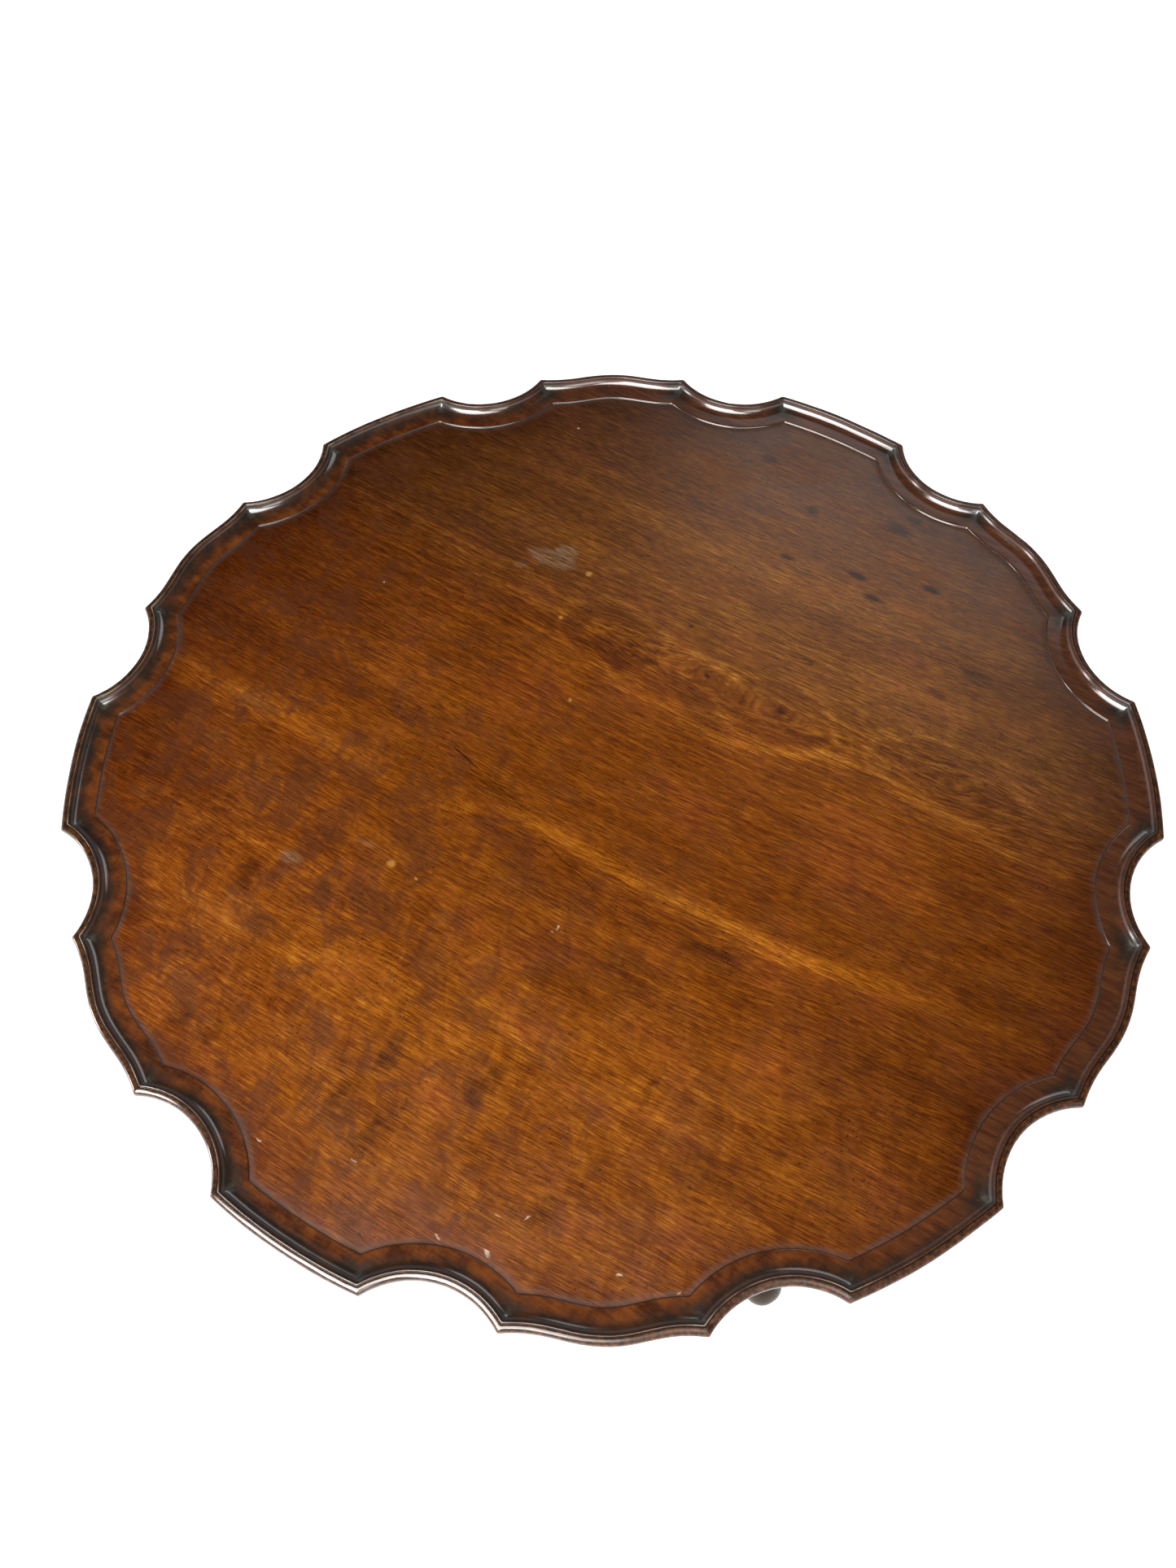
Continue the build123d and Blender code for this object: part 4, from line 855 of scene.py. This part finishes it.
def carved_rim():
    """The moulding: grime and painted shade in the hollows, wear on the arrises, and bare wood at the edge's
    foot.
    """
    s = Surface("old_carved_mahogany")
    mm, x, y, layer = board_layers(s, flow=False)
    run = s.add("ShaderNodeAttribute", {"attribute_name": "run"}).outputs["Fac"]
    cusp = s.add("ShaderNodeAttribute", {"attribute_name": "cusp"}).outputs["Fac"]
    streaks = layer(60, 4.0, 7.1, 3.0, 0.6)
    fibres = layer(15, 0.95, 3.7, 2.0, 0.6)
    pores = layer(6.0, 0.75, 11.9, 1.0)
    along = s.noise(s.place(mm, (2, 2, 2), scale=(14, 14, 14)), detail=4.0, rough=0.6)
    fine = s.noise(s.place(mm, (5, 2, 2), scale=(3, 3, 3)), detail=3.0, rough=0.6)
    patchy = s.between(s.math("MULTIPLY_ADD", streaks, 0.4, along), 0.5, 0.95)
    colour = s.mix(patchy, *NEAR_MOULDING)
    # the near and left sides keep their grime and take painted shade in the cove, which there faces away
    # from the lights; the far side is dusted and waxed
    side = s.between(s.math("MULTIPLY_ADD", x, 0.8, y), 180.0, -60.0)
    waxed = s.mix(s.between(streaks, 0.35, 0.65), *WAXED_MOULDING)
    colour = s.mix(side, waxed, colour)
    colour = s.mix(s.between(fibres, 0.4, 0.7, 0.0, 0.12), colour, BRIGHT_FIBRE)
    colour = s.mix(s.between(pores, 0.63, 0.72, 0.0, 0.25), colour, DARK_PORE)
    lip_colour = s.mix(s.between(fine, 0.35, 0.7), *LIP_TONES)
    colour = s.mix(s.between(run, 5.0, 6.5), lip_colour, colour)
    # painted shade with grime: the cove darkened as a shaded hollow, fully on the near and left sides and
    # faintly on the far side; at the cusps grime darkens it all round
    grime_and_shade_side = s.math("MULTIPLY_ADD", side, 0.85, 0.15)
    in_cove = s.math("MULTIPLY", window(s, run, 6.1, 6.9, 11.5, 19.5), grime_and_shade_side)
    at_cusp = s.math("MULTIPLY", s.between(cusp, 0.35, 0.95), window(s, run, 6.0, 6.6, 15.0, 23.5))
    grime = s.math("MULTIPLY", s.between(along, 0.2, 0.8, 1.0, 0.62), in_cove)
    grime = s.math("MAXIMUM", grime, s.math("MULTIPLY", at_cusp, 0.95))
    grime = s.math("MULTIPLY", grime, s.between(fine, 0.2, 0.75, 1.0, 0.8))
    colour = s.mix(grime, colour, COVE_GRIME_AND_SHADE)
    bloom = s.math("MULTIPLY", s.between(cusp, 0.86, 0.99), window(s, run, 6.6, 8.5, 11.0, 16.0))
    bloom = s.math("MULTIPLY", bloom, s.between(fine, 0.35, 0.65, 0.1, 0.55))
    colour = s.mix(bloom, colour, CUSP_BLOOM)
    # painted shade with some grime: dark lines in the quirk's groove and on the step's face
    shaded_lines = s.math("MAXIMUM", window(s, run, 4.7, 5.0, 5.5, 5.75), s.between(run, 23.7, 23.95))
    colour = s.mix(s.math("MULTIPLY", shaded_lines, 0.92), colour, LINE_SHADE_AND_GRIME)
    on_arris = window(s, run, 5.66, 5.85, 6.3, 6.75)
    arris = s.math("MULTIPLY", on_arris, s.between(along, 0.36, 0.62, 0.15, 0.9))
    arris = s.math("MULTIPLY", arris, s.math("MULTIPLY", side, s.between(cusp, 0.3, 0.95, 0.3, 1.0)))
    colour = s.mix(arris, colour, WORN_ARRIS)
    edge_wear = s.math("MULTIPLY", window(s, run, -0.5, 0.2, 0.6, 1.7), s.between(fine, 0.5, 0.66))
    colour = s.mix(s.math("MULTIPLY", edge_wear, 0.3), colour, WORN_EDGE)
    below = s.between(run, -22.0, -31.0)
    raw = s.ramp(s.math("MULTIPLY_ADD", fibres, 0.5, s.math("MULTIPLY", streaks, 0.4)), DRY_WOOD)
    colour = s.mix(below, colour, raw)
    lip = s.between(run, 6.4, 5.6)
    near_left = s.between(s.math("MULTIPLY_ADD", x, 0.9, y), -120.0, -300.0, 0.0, 0.9)
    gloss = s.total([
        s.math("MULTIPLY_ADD", fine, 0.08, 0.15),
        s.math("MULTIPLY", grime, 0.09),
        s.math("MULTIPLY", lip, s.math("MULTIPLY_ADD", near_left, -0.16, 0.16)),
        s.math("MULTIPLY", s.math("MULTIPLY", shaded_lines, side), 0.3),
        s.math("MULTIPLY", below, 0.3),
    ])
    relief = s.total([
        s.math("MULTIPLY", fibres, 0.3),
        s.math("MULTIPLY", along, 1.2),
        s.math("MULTIPLY", fine, 0.5),
    ])
    # wax shines in the cove, on the step and on the near left lip
    wax = s.total([
        window(s, run, 5.6, 6.4, 10.5, 15.0),
        s.math("MULTIPLY", lip, near_left),
        s.between(run, 23.2, 23.7, 0.0, 0.8),
    ])
    s.feed(s.shader.inputs["Coat Weight"], wax)
    normal = s.bump(relief, 0.3, 0.1 * MM)
    return s.finish(colour, gloss, normal, Coat_Roughness=0.15, Coat_IOR=1.85, Specular_IOR_Level=0.45)


def metal(name, tones, roughness, spots):
    """Old metal: mottled, duller in patches, with fine scratches."""
    s = Surface(name)
    position = s.add("ShaderNodeTexCoord").outputs["Object"]
    mottle = s.noise(s.place(position, scale=(0.012, 0.012, 0.012)), detail=5.0, rough=0.65)
    grime = s.between(s.noise(s.place(position, scale=(0.004, 0.004, 0.004)), detail=4.0), 0.42, 0.7)
    colour = s.ramp(mottle, tones)
    colour = s.mix(s.math("MULTIPLY", grime, spots), colour, (0.22, 0.2, 0.16), "MULTIPLY")
    scratch = s.noise(s.place(position, angle=(0, 0, 25), scale=(0.02, 0.0006, 0.0006)), detail=2.0)
    gloss = s.total([s.math("MULTIPLY_ADD", mottle, 0.3, roughness - 0.15),
                     s.math("MULTIPLY", grime, 0.25)])
    relief = s.total([s.math("MULTIPLY", mottle, 0.6), s.math("MULTIPLY", scratch, 0.4)])
    return s.finish(colour, gloss, s.bump(relief, 0.3, 0.2 * MM), Metallic=1.0)


def dress(names, material):
    """Gives nodes from the CAD a material, through their slots."""
    for name in names:
        data = NODES[name].data
        data.materials.clear()
        data.materials.append(material)


BRASS = [(0.3, (0.16, 0.10, 0.035)), (0.5, (0.36, 0.25, 0.09)), (0.7, (0.55, 0.4, 0.17))]
IRON = [(0.3, (0.02, 0.018, 0.016)), (0.5, (0.05, 0.043, 0.038)), (0.75, (0.14, 0.07, 0.04))]
STEEL = [(0.3, (0.12, 0.115, 0.11)), (0.7, (0.35, 0.34, 0.33))]
ALONG_X, ALONG_Y, ALONG_Z = (1, 0, 0), (0, 1, 0), (0, 0, 1)
LEG_SLOPE = -0.8  # the grain's fall along a leg

make_camera()
make_lights()
make_floor()

board = make_board()
for material in (polished_field(), carved_rim(),
                 plain_wood("raw_underside", ALONG_X, DRY_WOOD, 0.62, dry=0.8)):
    board.data.materials.append(material)
dress(["top_board"], plain_wood("hidden_board", ALONG_X, DARK_POLISH, 0.3))
dress(["pillar"], plain_wood("pillar_wood", ALONG_Z, DARK_POLISH, 0.28))
for leg, azimuth in (("leg_back", 90), ("leg_left", 210), ("leg_right", 330)):
    direction = (cos(radians(azimuth)), sin(radians(azimuth)), LEG_SLOPE)
    dress([leg], plain_wood(leg + "_wood", direction, DARK_POLISH, 0.28, scuffed=1.0))
dress(["block"], plain_wood("block_wood", ALONG_X, DRY_WOOD, 0.6, dry=0.6))
dress(["bearer_left", "bearer_right"], plain_wood("bearer_wood", ALONG_Y, DRY_WOOD, 0.6, dry=0.6))
dress(["pivot_pin_left", "pivot_pin_right"], plain_wood("pin_wood", ALONG_X, PALE_WOOD, 0.5, dry=0.5))
dress(["tenon_wedge"], plain_wood("wedge_wood", ALONG_Z, PALE_WOOD, 0.6, dry=0.6))
dress(["catch_plate", "catch_case", "catch_bolt", "catch_knob", "catch_screws", "catch_rivets",
       "keeper_plate", "keeper_screws"], metal("old_brass", BRASS, 0.4, 0.6))
dress(["spider_plate", "spider_screws", "bearer_screws"], metal("old_iron", IRON, 0.6, 0.5))
dress(["catch_spring"], metal("spring_steel", STEEL, 0.35, 0.4))
